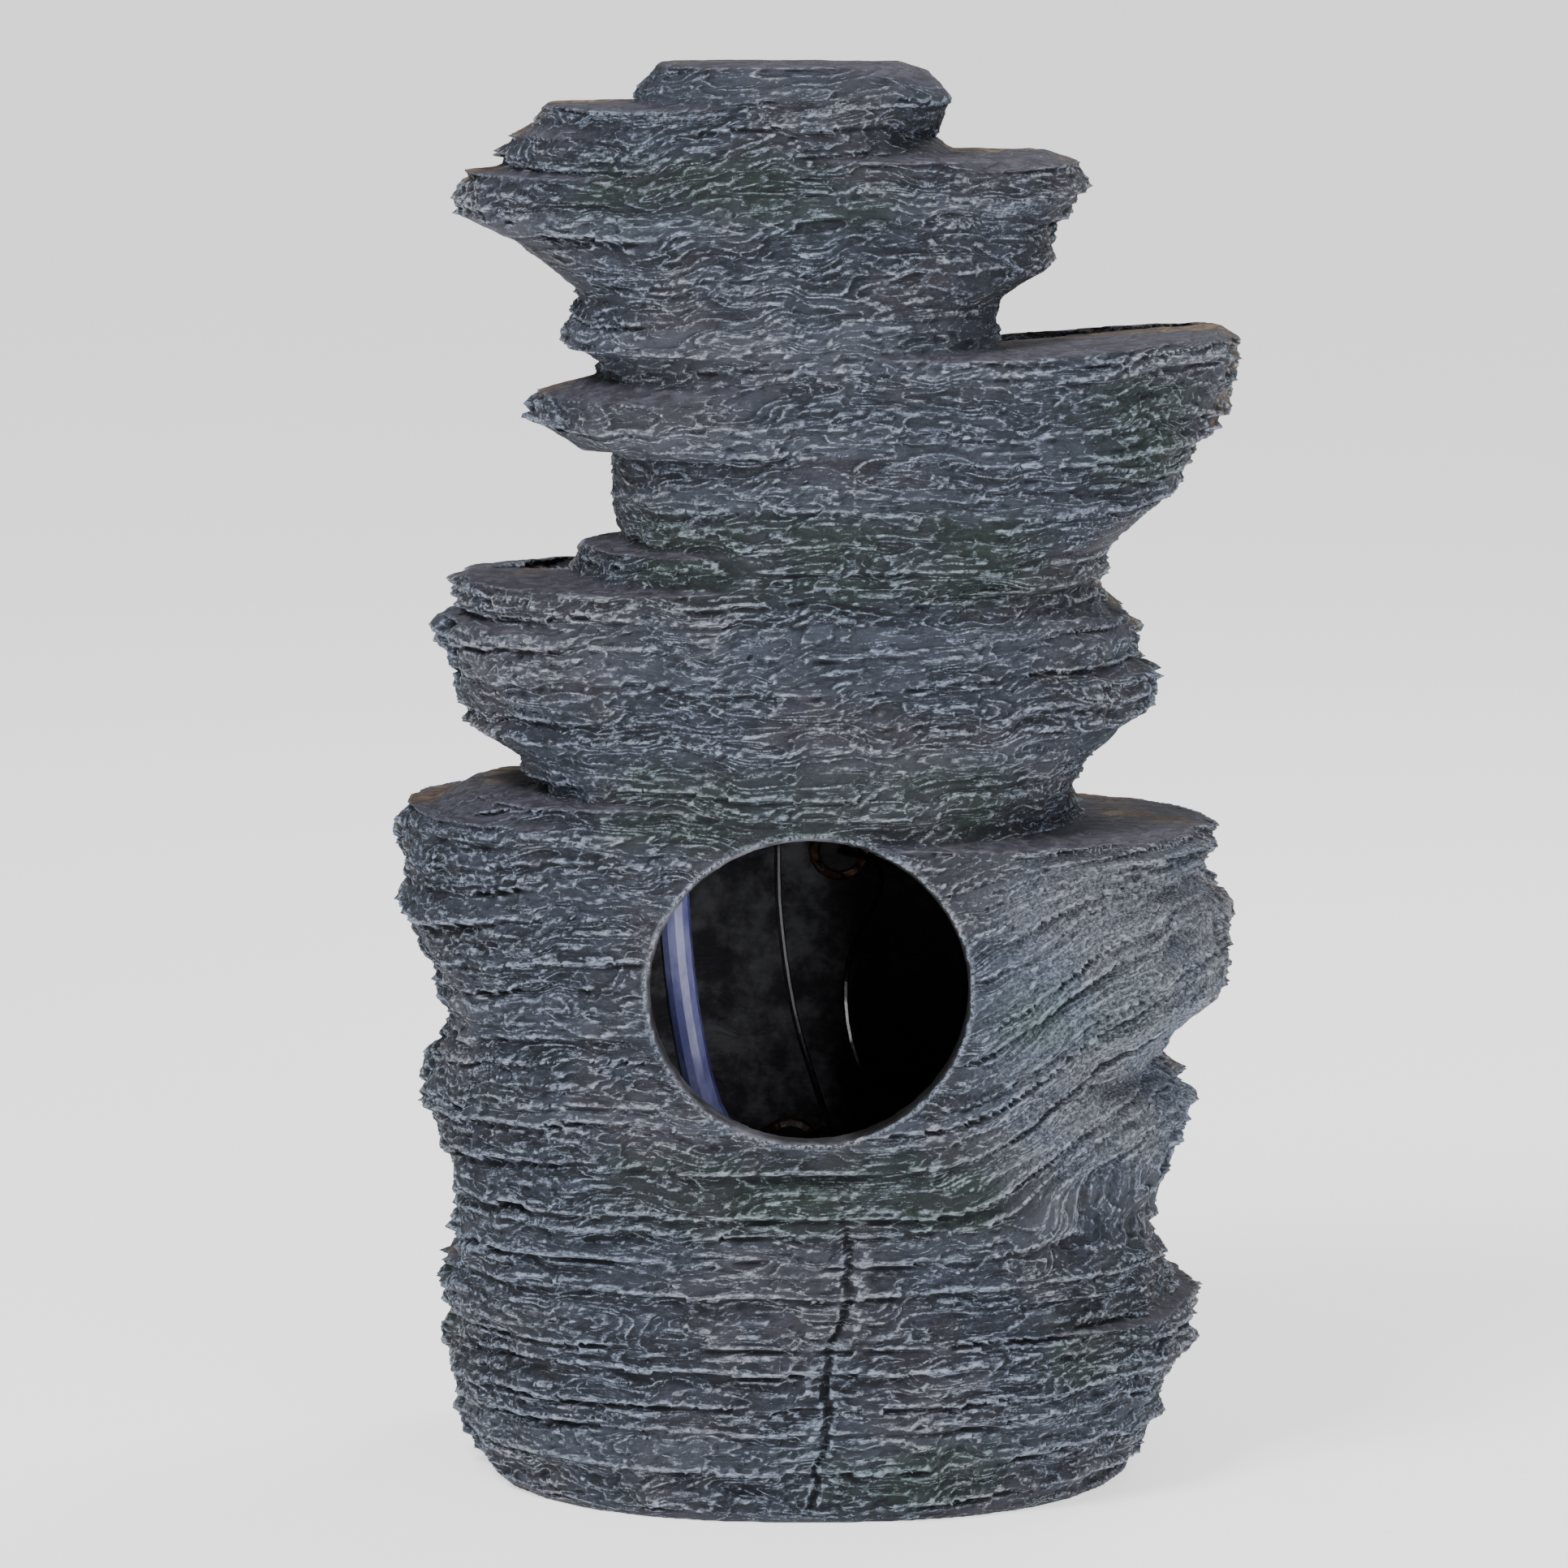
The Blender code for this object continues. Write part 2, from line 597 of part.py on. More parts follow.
def build_clip(name, x, y, z):
    """Spring clip round the hose: an open band with two finger tabs."""
    r0, r1, half = 5.35, 6.25, 2.6
    gap = math.radians(16)
    n = 18
    bm = bmesh.new()
    secs = []
    for i in range(n + 1):
        a = gap + (2 * math.pi - 2 * gap) * i / n
        secs.append([bm.verts.new((x + r * math.cos(a), y + r * math.sin(a), z + h)) for r, h in ((r0, -half), (r1, -half), (r1, half), (r0, half))])
    # tabs stand away from the band at both ends
    first, last = [], []
    for sign, store in ((1, first), (-1, last)):
        a = gap * 0.75 * sign
        for r, h in ((r0 + 0.2, -half), (r0 + 0.2, half)):
            pass
        d = Vector((math.cos(a * 2.2), math.sin(a * 2.2), 0))
        nrm = Vector((-d.y, d.x, 0)) * sign
        base = Vector((x, y, z)) + d * (r1 + 4.4)
        store.extend(
            [
                bm.verts.new(base - nrm * 0.1 + Vector((0, 0, -half * 0.8))),
                bm.verts.new(base + nrm * 0.8 + Vector((0, 0, -half * 0.8))),
                bm.verts.new(base + nrm * 0.8 + Vector((0, 0, half * 0.8))),
                bm.verts.new(base - nrm * 0.1 + Vector((0, 0, half * 0.8))),
            ]
        )
    chain = [first] + secs + [last]
    for a, b in zip(chain, chain[1:]):
        for k in range(4):
            m = (k + 1) % 4
            bm.faces.new((a[k], a[m], b[m], b[k]))
    bm.faces.new(list(reversed(chain[0])))
    bm.faces.new(chain[-1])
    place(bm, name, steel)


build_spout()
build_hose()
build_clip("hose_clip_lower", 16.8, 30.0, 62.0)
build_clip("hose_clip_upper", SPOUT_X, SPOUT_Y, POOL_FLOOR_TOP - 25.5)


# ---- pump ------------------------------------------------------------------------
def P(*xyz):
    return Vector(xyz) + PUMP_AT


def build_pump():
    px, py, pz = PUMP_AT
    ax = (py, pz + AXIS_Z)
    w = PUMP_W / 2

    # motor housing: a box open at its back, with the rotor's well standing inside it
    ob = place(box(P(-30, -w, 0), P(0, w, PUMP_H), 1.6), "pump_motor_housing", black_plastic)
    boolean(ob, box(P(-40, -w + 2.4, 2.4), P(-3.0, w - 2.4, PUMP_H - 2.4)), "cut_stator_bay")
    boolean(ob, round_along("X", ax, [(px - 25.5, 9.5), (px - 1.5, 9.5)], 24), "add_rotor_well", "UNION")
    boolean(ob, round_along("X", ax, [(px - 24.0, 8.0), (px + 4, 8.0)], 24), "cut_rotor_well")
    boolean(ob, round_along("X", ax, [(px - 25.2, 2.3), (px - 20, 2.3)], 16), "cut_bush_seat")

    plate = place(box(P(-29.8, -w + 2.8, 2.8), P(-27.6, w - 2.8, PUMP_H - 2.8)), "motor_back_plate", dark_plastic, smooth=False)
    boolean(plate, round_along("X", (py - 9.0, pz + 28.0), [(px - 40, 3.2), (px - 20, 3.2)], 16), "cut_gland_hole")

    # U-shaped lamination stack, its legs hugging the well, with the winding on the lower limb
    core = place(box(P(-20, -15, 5.2), P(-8, 15, 31)), "stator_core", iron_mat, smooth=False)
    boolean(core, round_along("X", ax, [(px - 30, 9.9), (px, 9.9)], 24), "cut_core_bore")
    boolean(core, box(P(-30, -7.0, AXIS_Z + 2), P(2, 7.0, 40)), "cut_core_gap")
    boolean(core, box(P(-30, -9.5, 8.2), P(2, 9.5, 14)), "cut_core_window")
    coil = place(box(P(-24.4, -8.8, 2.8), P(-3.6, 8.8, 10.1), 0.7), "stator_coil", copper_mat)
    boolean(coil, box(P(-20.4, -20, 4.8), P(-7.6, 20, 8.5)), "cut_coil_eye")

    # impeller chamber with the intake spider in front and the outlet pipe on top
    vol = place(box(P(0.4, -w, 0), P(9.4, w, PUMP_H), 1.2), "impeller_chamber", dark_plastic)
    boolean(vol, round_along("Z", (px + 4.8, py + 8.0), [(pz + 32, 4.6), (pz + 39, 4.6), (pz + 39.6, 3.6), (pz + 46, 3.6), (pz + 50, 3.65), (pz + 51.5, 3.2)], 18), "add_outlet", "UNION")
    boolean(vol, round_along("X", ax, [(px - 2, 12.6), (px + 6.8, 12.6)], 28), "cut_chamber")
    boolean(vol, round_along("Z", (px + 4.3, py + 8.0), [(pz + 24, 2.2), (pz + 56, 2.2)], 14), "cut_outlet_bore")
    kidneys = []
    for k in range(3):
        a0 = math.radians(120 * k + 14)
        a1 = math.radians(120 * k + 106)
        steps = 5
        rings = []
        for x in (px + 4, px + 12):
            ring = [Vector((x, ax[0] + r * math.cos(a0 + (a1 - a0) * i / steps), ax[1] + r * math.sin(a0 + (a1 - a0) * i / steps))) for r, idx in ((3.5, range(steps + 1)), (6.6, range(steps, -1, -1))) for i in idx]
            rings.append(ring)
        kidneys.append(loft(rings))
    for k, bm in enumerate(kidneys):
        boolean(vol, bm, f"cut_intake_{k + 1}")
    boolean(vol, round_along("X", ax, [(px + 4, 2.15), (px + 8.6, 2.15)], 16), "cut_front_bush_seat")
    boolean(vol, ring_along("X", ax, [(px - 1, 13.6), (px - 1, 15.4), (px + 1.9, 15.4), (px + 1.9, 13.6)], 28), "cut_seal_groove")
    place(ring_along("X", ax, [(px + 0.35 + 0.7 - 0.7 * math.cos(a), 14.5 + 0.75 * math.sin(a)) for a in [2 * math.pi * i / 6 for i in range(6)]], 24), "chamber_seal", rubber_mat)

    # rotor on its fixed ceramic pin
    place(round_along("X", ax, [(px - 23.6, 1.1), (px + 8.2, 1.1)], 12), "rotor_pin", ceramic_mat)
    place(ring_along("X", ax, [(px - 24.9, 1.25), (px - 24.9, 2.1), (px - 22.8, 2.1), (px - 22.8, 1.25)], 12), "inner_bush", rubber_mat)
    place(ring_along("X", ax, [(px + 6.3, 1.25), (px + 6.3, 1.95), (px + 8.4, 1.95), (px + 8.4, 1.25)], 12), "outer_bush", rubber_mat)
    place(ring_along("X", ax, [(px - 22.2, 1.35), (px - 22.2, 6.6), (px - 21.6, 7.2), (px - 1.2, 7.2), (px - 0.8, 6.8), (px - 0.8, 1.35)], 20), "rotor_magnet", magnet_mat)
    wheel = place(ring_along("X", ax, [(px - 0.4, 1.35), (px - 0.4, 4.0), (px + 1.2, 4.0), (px + 1.2, 11.0), (px + 2.3, 11.0), (px + 2.6, 3.0), (px + 5.7, 2.4), (px + 5.7, 1.35)], 20), "impeller", dark_plastic)
    for k in range(6):
        bm = box(Vector((px + 1.8, -0.6, 1.9)), Vector((px + 5.4, 0.6, 10.6)))
        bm.transform(Matrix.Rotation(math.radians(60 * k + 10), 4, "X"))
        boolean(wheel, shifted(bm, Vector((0, ax[0], ax[1]))), f"add_vane_{k + 1}", "UNION")

    # clip-on strainer with its sponge and the flow dial in its face
    st = place(box(P(9.8, -w, 0), P(25.0, w, PUMP_H), 1.6), "intake_strainer", black_plastic)
    boolean(st, box(P(5, -w + 1.7, 1.7), P(23.2, w - 1.7, PUMP_H - 1.7)), "cut_strainer_hollow")
    slots = []
    for k in range(4):
        for side in (-1, 1):
            y = side * (10.8 + 2.0 * 0) if False else side * (16.0 - k * 2.2)
            if k < 3:
                slots.append(box(P(20, y - 0.6, 6), P(30, y + 0.6, 30)))
    for k, bm in enumerate(slots):
        boolean(st, bm, f"cut_face_slot_{k + 1}")
    for k, y in enumerate((-12, -6, 0, 6, 12)):
        boolean(st, box(P(12.5, y - 1.1, -3), P(21.5, y + 1.1, 4)), f"cut_under_slot_{k + 1}")
    boolean(st, round_along("X", ax, [(px + 20, 2.5), (px + 30, 2.5)], 16), "cut_dial_hole")
    sponge = place(box(P(11.2, -w + 2.3, 2.3), P(20.2, w - 2.3, PUMP_H - 2.3), 0.6), "filter_sponge", sponge_mat)
    boolean(sponge, round_along("X", ax, [(px + 5, 6.8), (px + 30, 6.8)], 18), "cut_sponge_eye")
    dial = place(
        round_along("X", ax, [(px + 19.4, 1.7), (px + 19.6, 2.1), (px + 25.4, 2.1), (px + 25.4, 8.0), (px + 27.0, 8.0), (px + 27.4, 7.6)], 20),
        "flow_dial",
        dark_plastic,
    )
    boolean(dial, box(P(26.6, -1.2, AXIS_Z - 7.0), P(29.4, 1.2, AXIS_Z + 7.0), 0.4), "add_dial_grip", "UNION")

    # four suction cups with their stems in the housing's underside
    cups = ((-24, -12), (-24, 12), (4.9, -13), (4.9, 13))
    for k, (x, y) in enumerate(cups):
        c = (px + x, py + y)
        place(
            ring_cup(c, pz - 0.35),
            f"suction_cup_{k + 1}",
            rubber_mat,
        )

    # lead gland on the back plate
    c = (py - 9.0, pz + 28.0)
    place(
        ring_along("X", c, [(px - 44.0, PUMP_LEAD_R + 0.3), (px - 44.0, 2.8), (px - 30.4, 3.9), (px - 30.4, 4.6), (px - 29.95, 4.6), (px - 29.95, 2.9), (px - 27.0, 2.9), (px - 27.0, PUMP_LEAD_R + 0.3)], 16),
        "pump_lead_gland",
        rubber_mat,
    )


def ring_cup(c, top):
    """A suction cup: a shallow bell with a thick neck, open underneath."""
    low = FLOOR + 0.35
    stations = [(low, 7.6), (low + 1.0, 7.0), (low + 2.4, 4.6), (top - 2.2, 3.0), (top, 3.0)]
    under = [(low + 1.6, 1.0), (low + 0.9, 4.4), (low, 6.7)]
    bm = bmesh.new()
    sides = 14
    loops = [[bm.verts.new((c[0] + r * math.cos(2 * math.pi * i / sides), c[1] + r * math.sin(2 * math.pi * i / sides), z)) for i in range(sides)] for z, r in under[::1] + stations]
    for a, b in zip(loops, loops[1:]):
        for i in range(sides):
            j = (i + 1) % sides
            bm.faces.new((a[i], a[j], b[j], b[i]))
    bm.faces.new(list(reversed(loops[0])))
    bm.faces.new(loops[-1])
    return bm


build_pump()


# ---- LED pods, leads and the joint box --------------------------------------------------
JUNCTION_LO = Vector((-76.0, -8.0, FLOOR + 0.35))
JUNCTION_HI = Vector((-48.0, 8.0, FLOOR + 11.0))


def build_leds():
    for k, (x, z, front, back) in enumerate(LEDS):
        n = k + 1
        c = (x, z)
        # pod: a tube closed at the back, with a rim that stops on the shell's counterbore
        place(
            ring_pod(c, front, back),
            f"led_pod_{n}",
            black_plastic,
        )
        place(round_along("Y", c, [(front - 1.6, 4.6), (front - 0.6, 6.0), (front + 2.6, 6.0)], 18), f"led_lens_{n}", lens_mat)
        place(box((x - 2.5, front + 3.6, z - 2.5), (x + 2.5, front + 5.0, z + 2.5)), f"led_chip_{n}", led_mat, smooth=False)
        # bead of sealant round the pod's back end, on the inside of the shell
        place(
            ring_along("Y", c, [(back - 4.6, POD_R + 0.3), (back - 4.2, POD_R + 2.6), (back - 2.6, POD_R + 3.2), (back - 1.2, POD_R + 2.2), (back - 0.6, POD_R + 0.3)], 16),
            f"led_sealant_{n}",
            glue_mat,
        )


def ring_pod(c, front, back):
    """Cup-shaped housing along Y, open at the front."""
    inside = [(back - 3.0, 3.0), (back - 3.0, POD_R - 1.3 - 1.6), (front + 3.0, POD_R - 1.3 - 1.6), (front + 3.0, 6.3), (front, 6.3)]
    outside = [(front, 8.2), (front + 1.2, 8.2), (front + 1.2, POD_R), (back - 0.6, POD_R), (back, POD_R - 0.7)]
    return round_along("Y", c, inside + outside, 16)


build_leds()


def lead_points():
    """Routes of the leads inside the shell, in millimetres. Each starts just behind its pod."""
    (x1, z1, _, b1), (x2, z2, _, b2), (x3, z3, _, b3) = LEDS
    top = JUNCTION_HI.z + 0.35
    return {
        "led_lead_1": (
            (x1, b1 + 0.35, z1),
            (x1, b1 + 4, z1),
            (x1 + 0.5, b1 + 9, z1 - 1.5),
            (x1 + 1.5, b1 + 22, z1 - 12),
            (14.0, 10, 300.4),
            (13.5, 20, 266.4),
            (12.8, 26, 232.4),
            (12.0, 29, 204.4),
            (11.8, 30, 186.4),
            (10.3, 30, 170.4),
            (8.2, 30, 155.9),
            (5.6, 30, 143.4),
            (2.0, 29, 131.4),
            (-2.0, 27, 118.4),
            (-7.0, 23, 104.4),
            (-20.0, 6, 78.0),
            (-42.0, -8, 62.0),
            (-58.0, -10, 46.0),
            (-64.5, -4.5, 32.0),
            (-65.0, -3.5, top),
        ),
        "led_lead_2": (
            (x2, b2 + 0.35, z2),
            (x2, b2 + 4, z2),
            (x2 - 4.0, b2 + 8, z2 + 0.5),
            (x2 - 12.0, b2 + 11, z2 - 2),
            (-21.0, -17, 180.4),
            (-16.5, -10, 172.4),
            (-11.5, -3, 162.4),
            (-9.5, 3, 150.4),
            (-12.0, 6, 132.4),
            (-22.0, 4, 112.4),
            (-40.0, 2, 88.0),
            (-56.0, 2, 66.0),
            (-61.0, 2.5, 44.0),
            (-61.0, 3.5, 30.0),
            (-61.0, 3.5, top),
        ),
        "led_lead_3": (
            (x3, b3 + 0.35, z3),
            (x3, b3 + 3.5, z3),
            (x3 - 1.5, b3 + 8, z3 + 2.0),
            (x3 - 6.5, b3 + 14, z3 + 7.5),
            (-5.0, -20, 101.4),
            (-14.0, -20, 93.0),
            (-28.0, -21, 76.0),
            (-44.0, -20, 56.0),
            (-55.0, -14, 40.0),
            (-58.5, -5.5, 30.0),
            (-58.5, -4.0, top),
        ),
    }


def build_leads():
    for name, pts in lead_points().items():
        tube(name, pts, LEAD_R, lead_rubber, 2, {"led_lead_1": 44, "led_lead_2": 34, "led_lead_3": 24}[name])
    px, py, pz = PUMP_AT
    gx, gy, gz = px - 30.4, py - 9.0, pz + 28.0
    tube(
        "pump_lead",
        (
            (gx + 2.6, gy, gz),
            (gx - 12, gy, gz),
            (gx - 24, gy - 0.5, gz - 1),
            (gx - 34, gy - 2, gz - 7),
            (gx - 41.0, gy - 5, gz - 16),
            (-66.0, 4.0, 30),
            (-69.5, 3.0, 25),
            (-70.0, 2.5, JUNCTION_HI.z + 0.35),
        ),
        PUMP_LEAD_R,
        lead_rubber,
        2,
        20,
    )
    place(box(JUNCTION_LO, JUNCTION_HI, 1.4), "lead_junction_box", black_plastic)
    # low-voltage inlet: an in-line socket on a short lead, resting on the reservoir floor
    tube(
        "socket_lead",
        ((-76.4, 0.0, 14.5), (-78.4, 0.0, 14.5), (-82.0, 6.0, 13.6), (-81.0, 18.0, 13.0), (-76.0, 27.0, 13.2), (-69.0, 34.8, 14.3), (-62.4, 40.2, 14.9), (-59.3, 42.7, 14.9)),
        1.6,
        lead_rubber,
        2,
        18,
    )


def build_socket():
    """Barrel socket with a ribbed grip, lying along its lead's end."""
    d = Vector((2.7, 2.2, 0)).normalized()
    start = Vector((-59.3, 42.7, 14.9)) + d * 0.35
    turn = Matrix.Translation(start) @ d.to_track_quat("Z", "Y").to_matrix().to_4x4()
    stations = [(0.0, 2.4), (5.0, 3.4), (6.0, 4.6), (8.0, 4.6), (8.4, 4.1), (10.0, 4.1), (10.4, 4.6), (12.4, 4.6), (12.8, 4.1), (14.4, 4.1), (14.8, 4.6), (26.0, 4.6)]
    bm = round_along("Z", (0, 0), stations, 16)
    bm.transform(turn)
    ob = place(bm, "power_socket", black_plastic)
    bm = round_along("Z", (0, 0), [(16.0, 2.9), (30.0, 2.9)], 16)
    bm.transform(turn)
    boolean(ob, bm, "cut_socket_mouth")
    bm = round_along("Z", (0, 0), [(16.35, 0.9), (24.5, 0.9), (25.0, 0.6)], 10)
    bm.transform(turn)
    place(bm, "socket_pin", steel)


build_leads()
build_socket()
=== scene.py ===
import math

import bmesh
import bpy
import numpy as np
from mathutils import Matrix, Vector
from mathutils.bvhtree import BVHTree


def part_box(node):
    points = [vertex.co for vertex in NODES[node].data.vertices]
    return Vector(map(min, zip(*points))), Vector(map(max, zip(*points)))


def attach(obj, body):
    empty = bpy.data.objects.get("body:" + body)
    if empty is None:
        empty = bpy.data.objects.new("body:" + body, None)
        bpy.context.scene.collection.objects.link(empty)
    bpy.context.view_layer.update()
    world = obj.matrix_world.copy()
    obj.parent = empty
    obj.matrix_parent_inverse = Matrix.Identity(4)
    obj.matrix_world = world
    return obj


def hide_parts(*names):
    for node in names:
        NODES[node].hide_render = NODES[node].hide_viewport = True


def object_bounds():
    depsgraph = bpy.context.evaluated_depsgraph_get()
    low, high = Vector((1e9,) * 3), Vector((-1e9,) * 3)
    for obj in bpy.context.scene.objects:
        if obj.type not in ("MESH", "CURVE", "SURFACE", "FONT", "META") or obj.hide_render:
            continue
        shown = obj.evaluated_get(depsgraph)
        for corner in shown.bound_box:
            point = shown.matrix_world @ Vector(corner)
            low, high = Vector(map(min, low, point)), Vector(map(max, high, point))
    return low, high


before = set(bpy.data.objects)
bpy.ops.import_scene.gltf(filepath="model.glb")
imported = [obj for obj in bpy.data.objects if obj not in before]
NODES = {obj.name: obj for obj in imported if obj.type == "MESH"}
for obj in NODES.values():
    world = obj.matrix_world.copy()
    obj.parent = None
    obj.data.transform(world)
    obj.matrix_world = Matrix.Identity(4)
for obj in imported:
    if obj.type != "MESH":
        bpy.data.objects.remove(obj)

CAD_LOW, CAD_HIGH = [list(v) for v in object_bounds()]
MM = 0.001


# ---- camera: behind the fountain, a little above it -----------------------------
cam_data = bpy.data.cameras.new("camera")
cam_data.lens = 196.74
cam_data.sensor_width = 36.0
cam_data.clip_end = 60.0
cam = bpy.data.objects.new("camera", cam_data)
cam.location = (0.0100, 2.7, 0.6234)
cam.rotation_euler = (math.radians(90.0 - 8.557), 0.0, math.radians(180.0))
bpy.context.scene.collection.objects.link(cam)
bpy.context.scene.camera = cam


# ---- noise on arrays ---------------------------------------------------------------
def hashed(ix, iy, iz, seed):
    h = (ix.astype(np.int64) * 0x8DA6B343) ^ (iy.astype(np.int64) * 0xD8163841) ^ (iz.astype(np.int64) * 0xCB1AB31F)
    h = (h ^ (seed * 0x9E3779B1)) & 0xFFFFFFFF
    h ^= h >> 15
    h = (h * 0x2C1B3C6D) & 0xFFFFFFFF
    h ^= h >> 12
    h = (h * 0x297A2D39) & 0xFFFFFFFF
    h ^= h >> 15
    return h / 4294967296.0


def value_noise(p, seed=0):
    """Smooth noise from -1 to 1 at each row of p."""
    base = np.floor(p)
    f = p - base
    f = f * f * f * (f * (f * 6 - 15) + 10)
    i = base.astype(np.int64)
    total = np.zeros(len(p))
    for dx in (0, 1):
        wx = f[:, 0] if dx else 1 - f[:, 0]
        for dy in (0, 1):
            wy = f[:, 1] if dy else 1 - f[:, 1]
            for dz in (0, 1):
                wz = f[:, 2] if dz else 1 - f[:, 2]
                total += wx * wy * wz * hashed(i[:, 0] + dx, i[:, 1] + dy, i[:, 2] + dz, seed)
    return total * 2 - 1


def layered(p, octaves=3, seed=0):
    total, size, scale, whole = 0.0, 1.0, 1.0, 0.0
    for k in range(octaves):
        total = total + size * value_noise(p * scale, seed + 17 * k)
        whole += size
        size *= 0.5
        scale *= 2.03
    return total / whole


def cells(p, seed=0):
    """Nearest and second-nearest feature distances, and the nearest feature's own number from 0 to 1."""
    base = np.floor(p).astype(np.int64)
    first = np.full(len(p), 9.0)
    second = np.full(len(p), 9.0)
    own = np.zeros(len(p))
    for dx in (-1, 0, 1):
        for dy in (-1, 0, 1):
            for dz in (-1, 0, 1):
                ix, iy, iz = base[:, 0] + dx, base[:, 1] + dy, base[:, 2] + dz
                fx = ix + hashed(ix, iy, iz, seed + 1)
                fy = iy + hashed(ix, iy, iz, seed + 2)
                fz = iz + hashed(ix, iy, iz, seed + 3)
                d = np.sqrt((fx - p[:, 0]) ** 2 + (fy - p[:, 1]) ** 2 + (fz - p[:, 2]) ** 2)
                near = d < first
                second = np.where(near, first, np.minimum(second, d))
                own = np.where(near, hashed(ix, iy, iz, seed + 4), own)
                first = np.where(near, d, first)
    return first, second, own


def ease(v, low, high):
    t = np.clip((v - low) / (high - low), 0.0, 1.0)
    return t * t * (3 - 2 * t)


def spread(points, values, edges, times):
    """Averages a value over each vertex's neighbours."""
    n = len(values)
    count = np.bincount(edges[:, 0], minlength=n) + np.bincount(edges[:, 1], minlength=n)
    for _ in range(times):
        s = np.bincount(edges[:, 0], weights=values[edges[:, 1]], minlength=n)
        s += np.bincount(edges[:, 1], weights=values[edges[:, 0]], minlength=n)
        values = 0.5 * values + 0.5 * s / np.maximum(count, 1)
    return values


# The casting is one piece, held in the frame as lengths of it.
LENGTHS = sorted(name for name in NODES if name.startswith("rock_shell"))


# ---- the rock skin -------------------------------------------------------------------
OPEN_X, OPEN_Z, OPEN_W, OPEN_H = 2.2, 165.4, 49.5, 46.5


def rock_skin():
    me = bpy.data.meshes.new("rock_skin")
    ob = bpy.data.objects.new("rock_skin", me)
    bpy.context.scene.collection.objects.link(ob)
    bm = bmesh.new()
    for name in LENGTHS:
        bm.from_mesh(NODES[name].data)
    bmesh.ops.remove_doubles(bm, verts=bm.verts, dist=2e-6)
    bmesh.ops.triangulate(bm, faces=bm.faces)
    bm.normal_update()
    bm.to_mesh(me)
    ends_z = sorted(v for name in LENGTHS for v in (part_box(name)[0].z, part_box(name)[1].z))[1:-1]
    meeting = [f for f in bm.faces if any(all(abs(v.co.z - level) < 3e-5 for v in f.verts) for level in ends_z)]
    bmesh.ops.delete(bm, geom=meeting, context="FACES_ONLY")
    bm.faces.index_update()
    tree = BVHTree.FromBMesh(bm)

    # Which of the casting's own faces line the hollow: those that see a point on the line up its middle.
    bm.faces.ensure_lookup_table()
    shut = np.zeros(len(bm.faces))
    for f in bm.faces:
        at = f.calc_center_median() + f.normal * 1e-4
        for step in range(-4, 5):
            level = min(0.410, max(0.014, at.z + 0.018 * step))
            for spot in (Vector((0.002, 0.018, level)), Vector((0.010, 0.045, level)), Vector((-0.020, 0.0, level))):
                way = spot - at
                far = way.length
                if way.dot(f.normal) > 0.02 * far and tree.ray_cast(at, way / far, far)[0] is None:
                    shut[f.index] = 1.0
                    break
            if shut[f.index]:
                break
    bm.free()

    remesh = ob.modifiers.new("even", "REMESH")
    remesh.mode = "VOXEL"
    remesh.voxel_size = 1.25 * MM
    remesh.use_smooth_shade = True
    graph = bpy.context.evaluated_depsgraph_get()
    fine = bpy.data.meshes.new_from_object(ob.evaluated_get(graph))
    ob.modifiers.clear()
    ob.data = fine
    bpy.data.meshes.remove(me)

    n = len(fine.vertices)
    co = np.empty(n * 3, np.float32)
    fine.vertices.foreach_get("co", co)
    P = co.reshape(-1, 3).astype(float) * 1000.0
    no = np.empty(n * 3, np.float32)
    fine.vertex_normals.foreach_get("vector", no)
    N = no.reshape(-1, 3).astype(float)
    ed = np.empty(len(fine.edges) * 2, np.int32)
    fine.edges.foreach_get("vertices", ed)
    E = ed.reshape(-1, 2)
    print("rock skin:", n, "points", len(fine.polygons), "faces")

    inside = np.zeros(n)
    for i in range(n):
        hit = tree.find_nearest(Vector(P[i] * MM))
        inside[i] = shut[hit[2]] if hit[2] is not None else 0.0
    inside = (inside > 0.5).astype(float)
    x, y, z = P[:, 0], P[:, 1], P[:, 2]
    hole = np.sqrt(((x - OPEN_X) / OPEN_W) ** 2 + ((z - OPEN_Z) / OPEN_H) ** 2)
    inside = np.where((hole < 1.012) & (y > 20), 1.0, inside)
    inside = spread(P, inside, E, 2)
    outer = 1 - ease(inside, 0.15, 0.7)

    flat = np.sqrt(N[:, 0] ** 2 + N[:, 1] ** 2)
    H = np.stack([N[:, 0], N[:, 1], np.zeros(n)], 1) / np.maximum(flat, 1e-6)[:, None]
    wall = ease(flat, 0.45, 0.85)
    up = ease(N[:, 2], 0.55, 0.9)
    back = ease(y, 5, 40)

    # calm places: round the lenses and pods, the spout, the socket, the opening's rim and the standing face
    calm = np.ones(n)
    for name, room in (("led_lens_1", 5), ("led_lens_2", 5), ("led_lens_3", 5), ("led_pod_1", 4), ("led_pod_2", 4),
                       ("led_pod_3", 4), ("spout_fitting", 4), ("spout_lock_nut", 4), ("power_socket", 5)):
        lo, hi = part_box(name)
        lo, hi = np.array(lo) * 1000, np.array(hi) * 1000
        away = np.linalg.norm(np.maximum(np.maximum(lo - P, P - hi), 0), axis=1)
        calm *= ease(away, 0.5, room)
    rim = ease(np.abs(hole - 1.0), 0.02, 0.12)
    rim = np.where(y > 20, 0.25 + 0.75 * rim, 1.0)
    foot = ease(z, 0.6, 5.0)

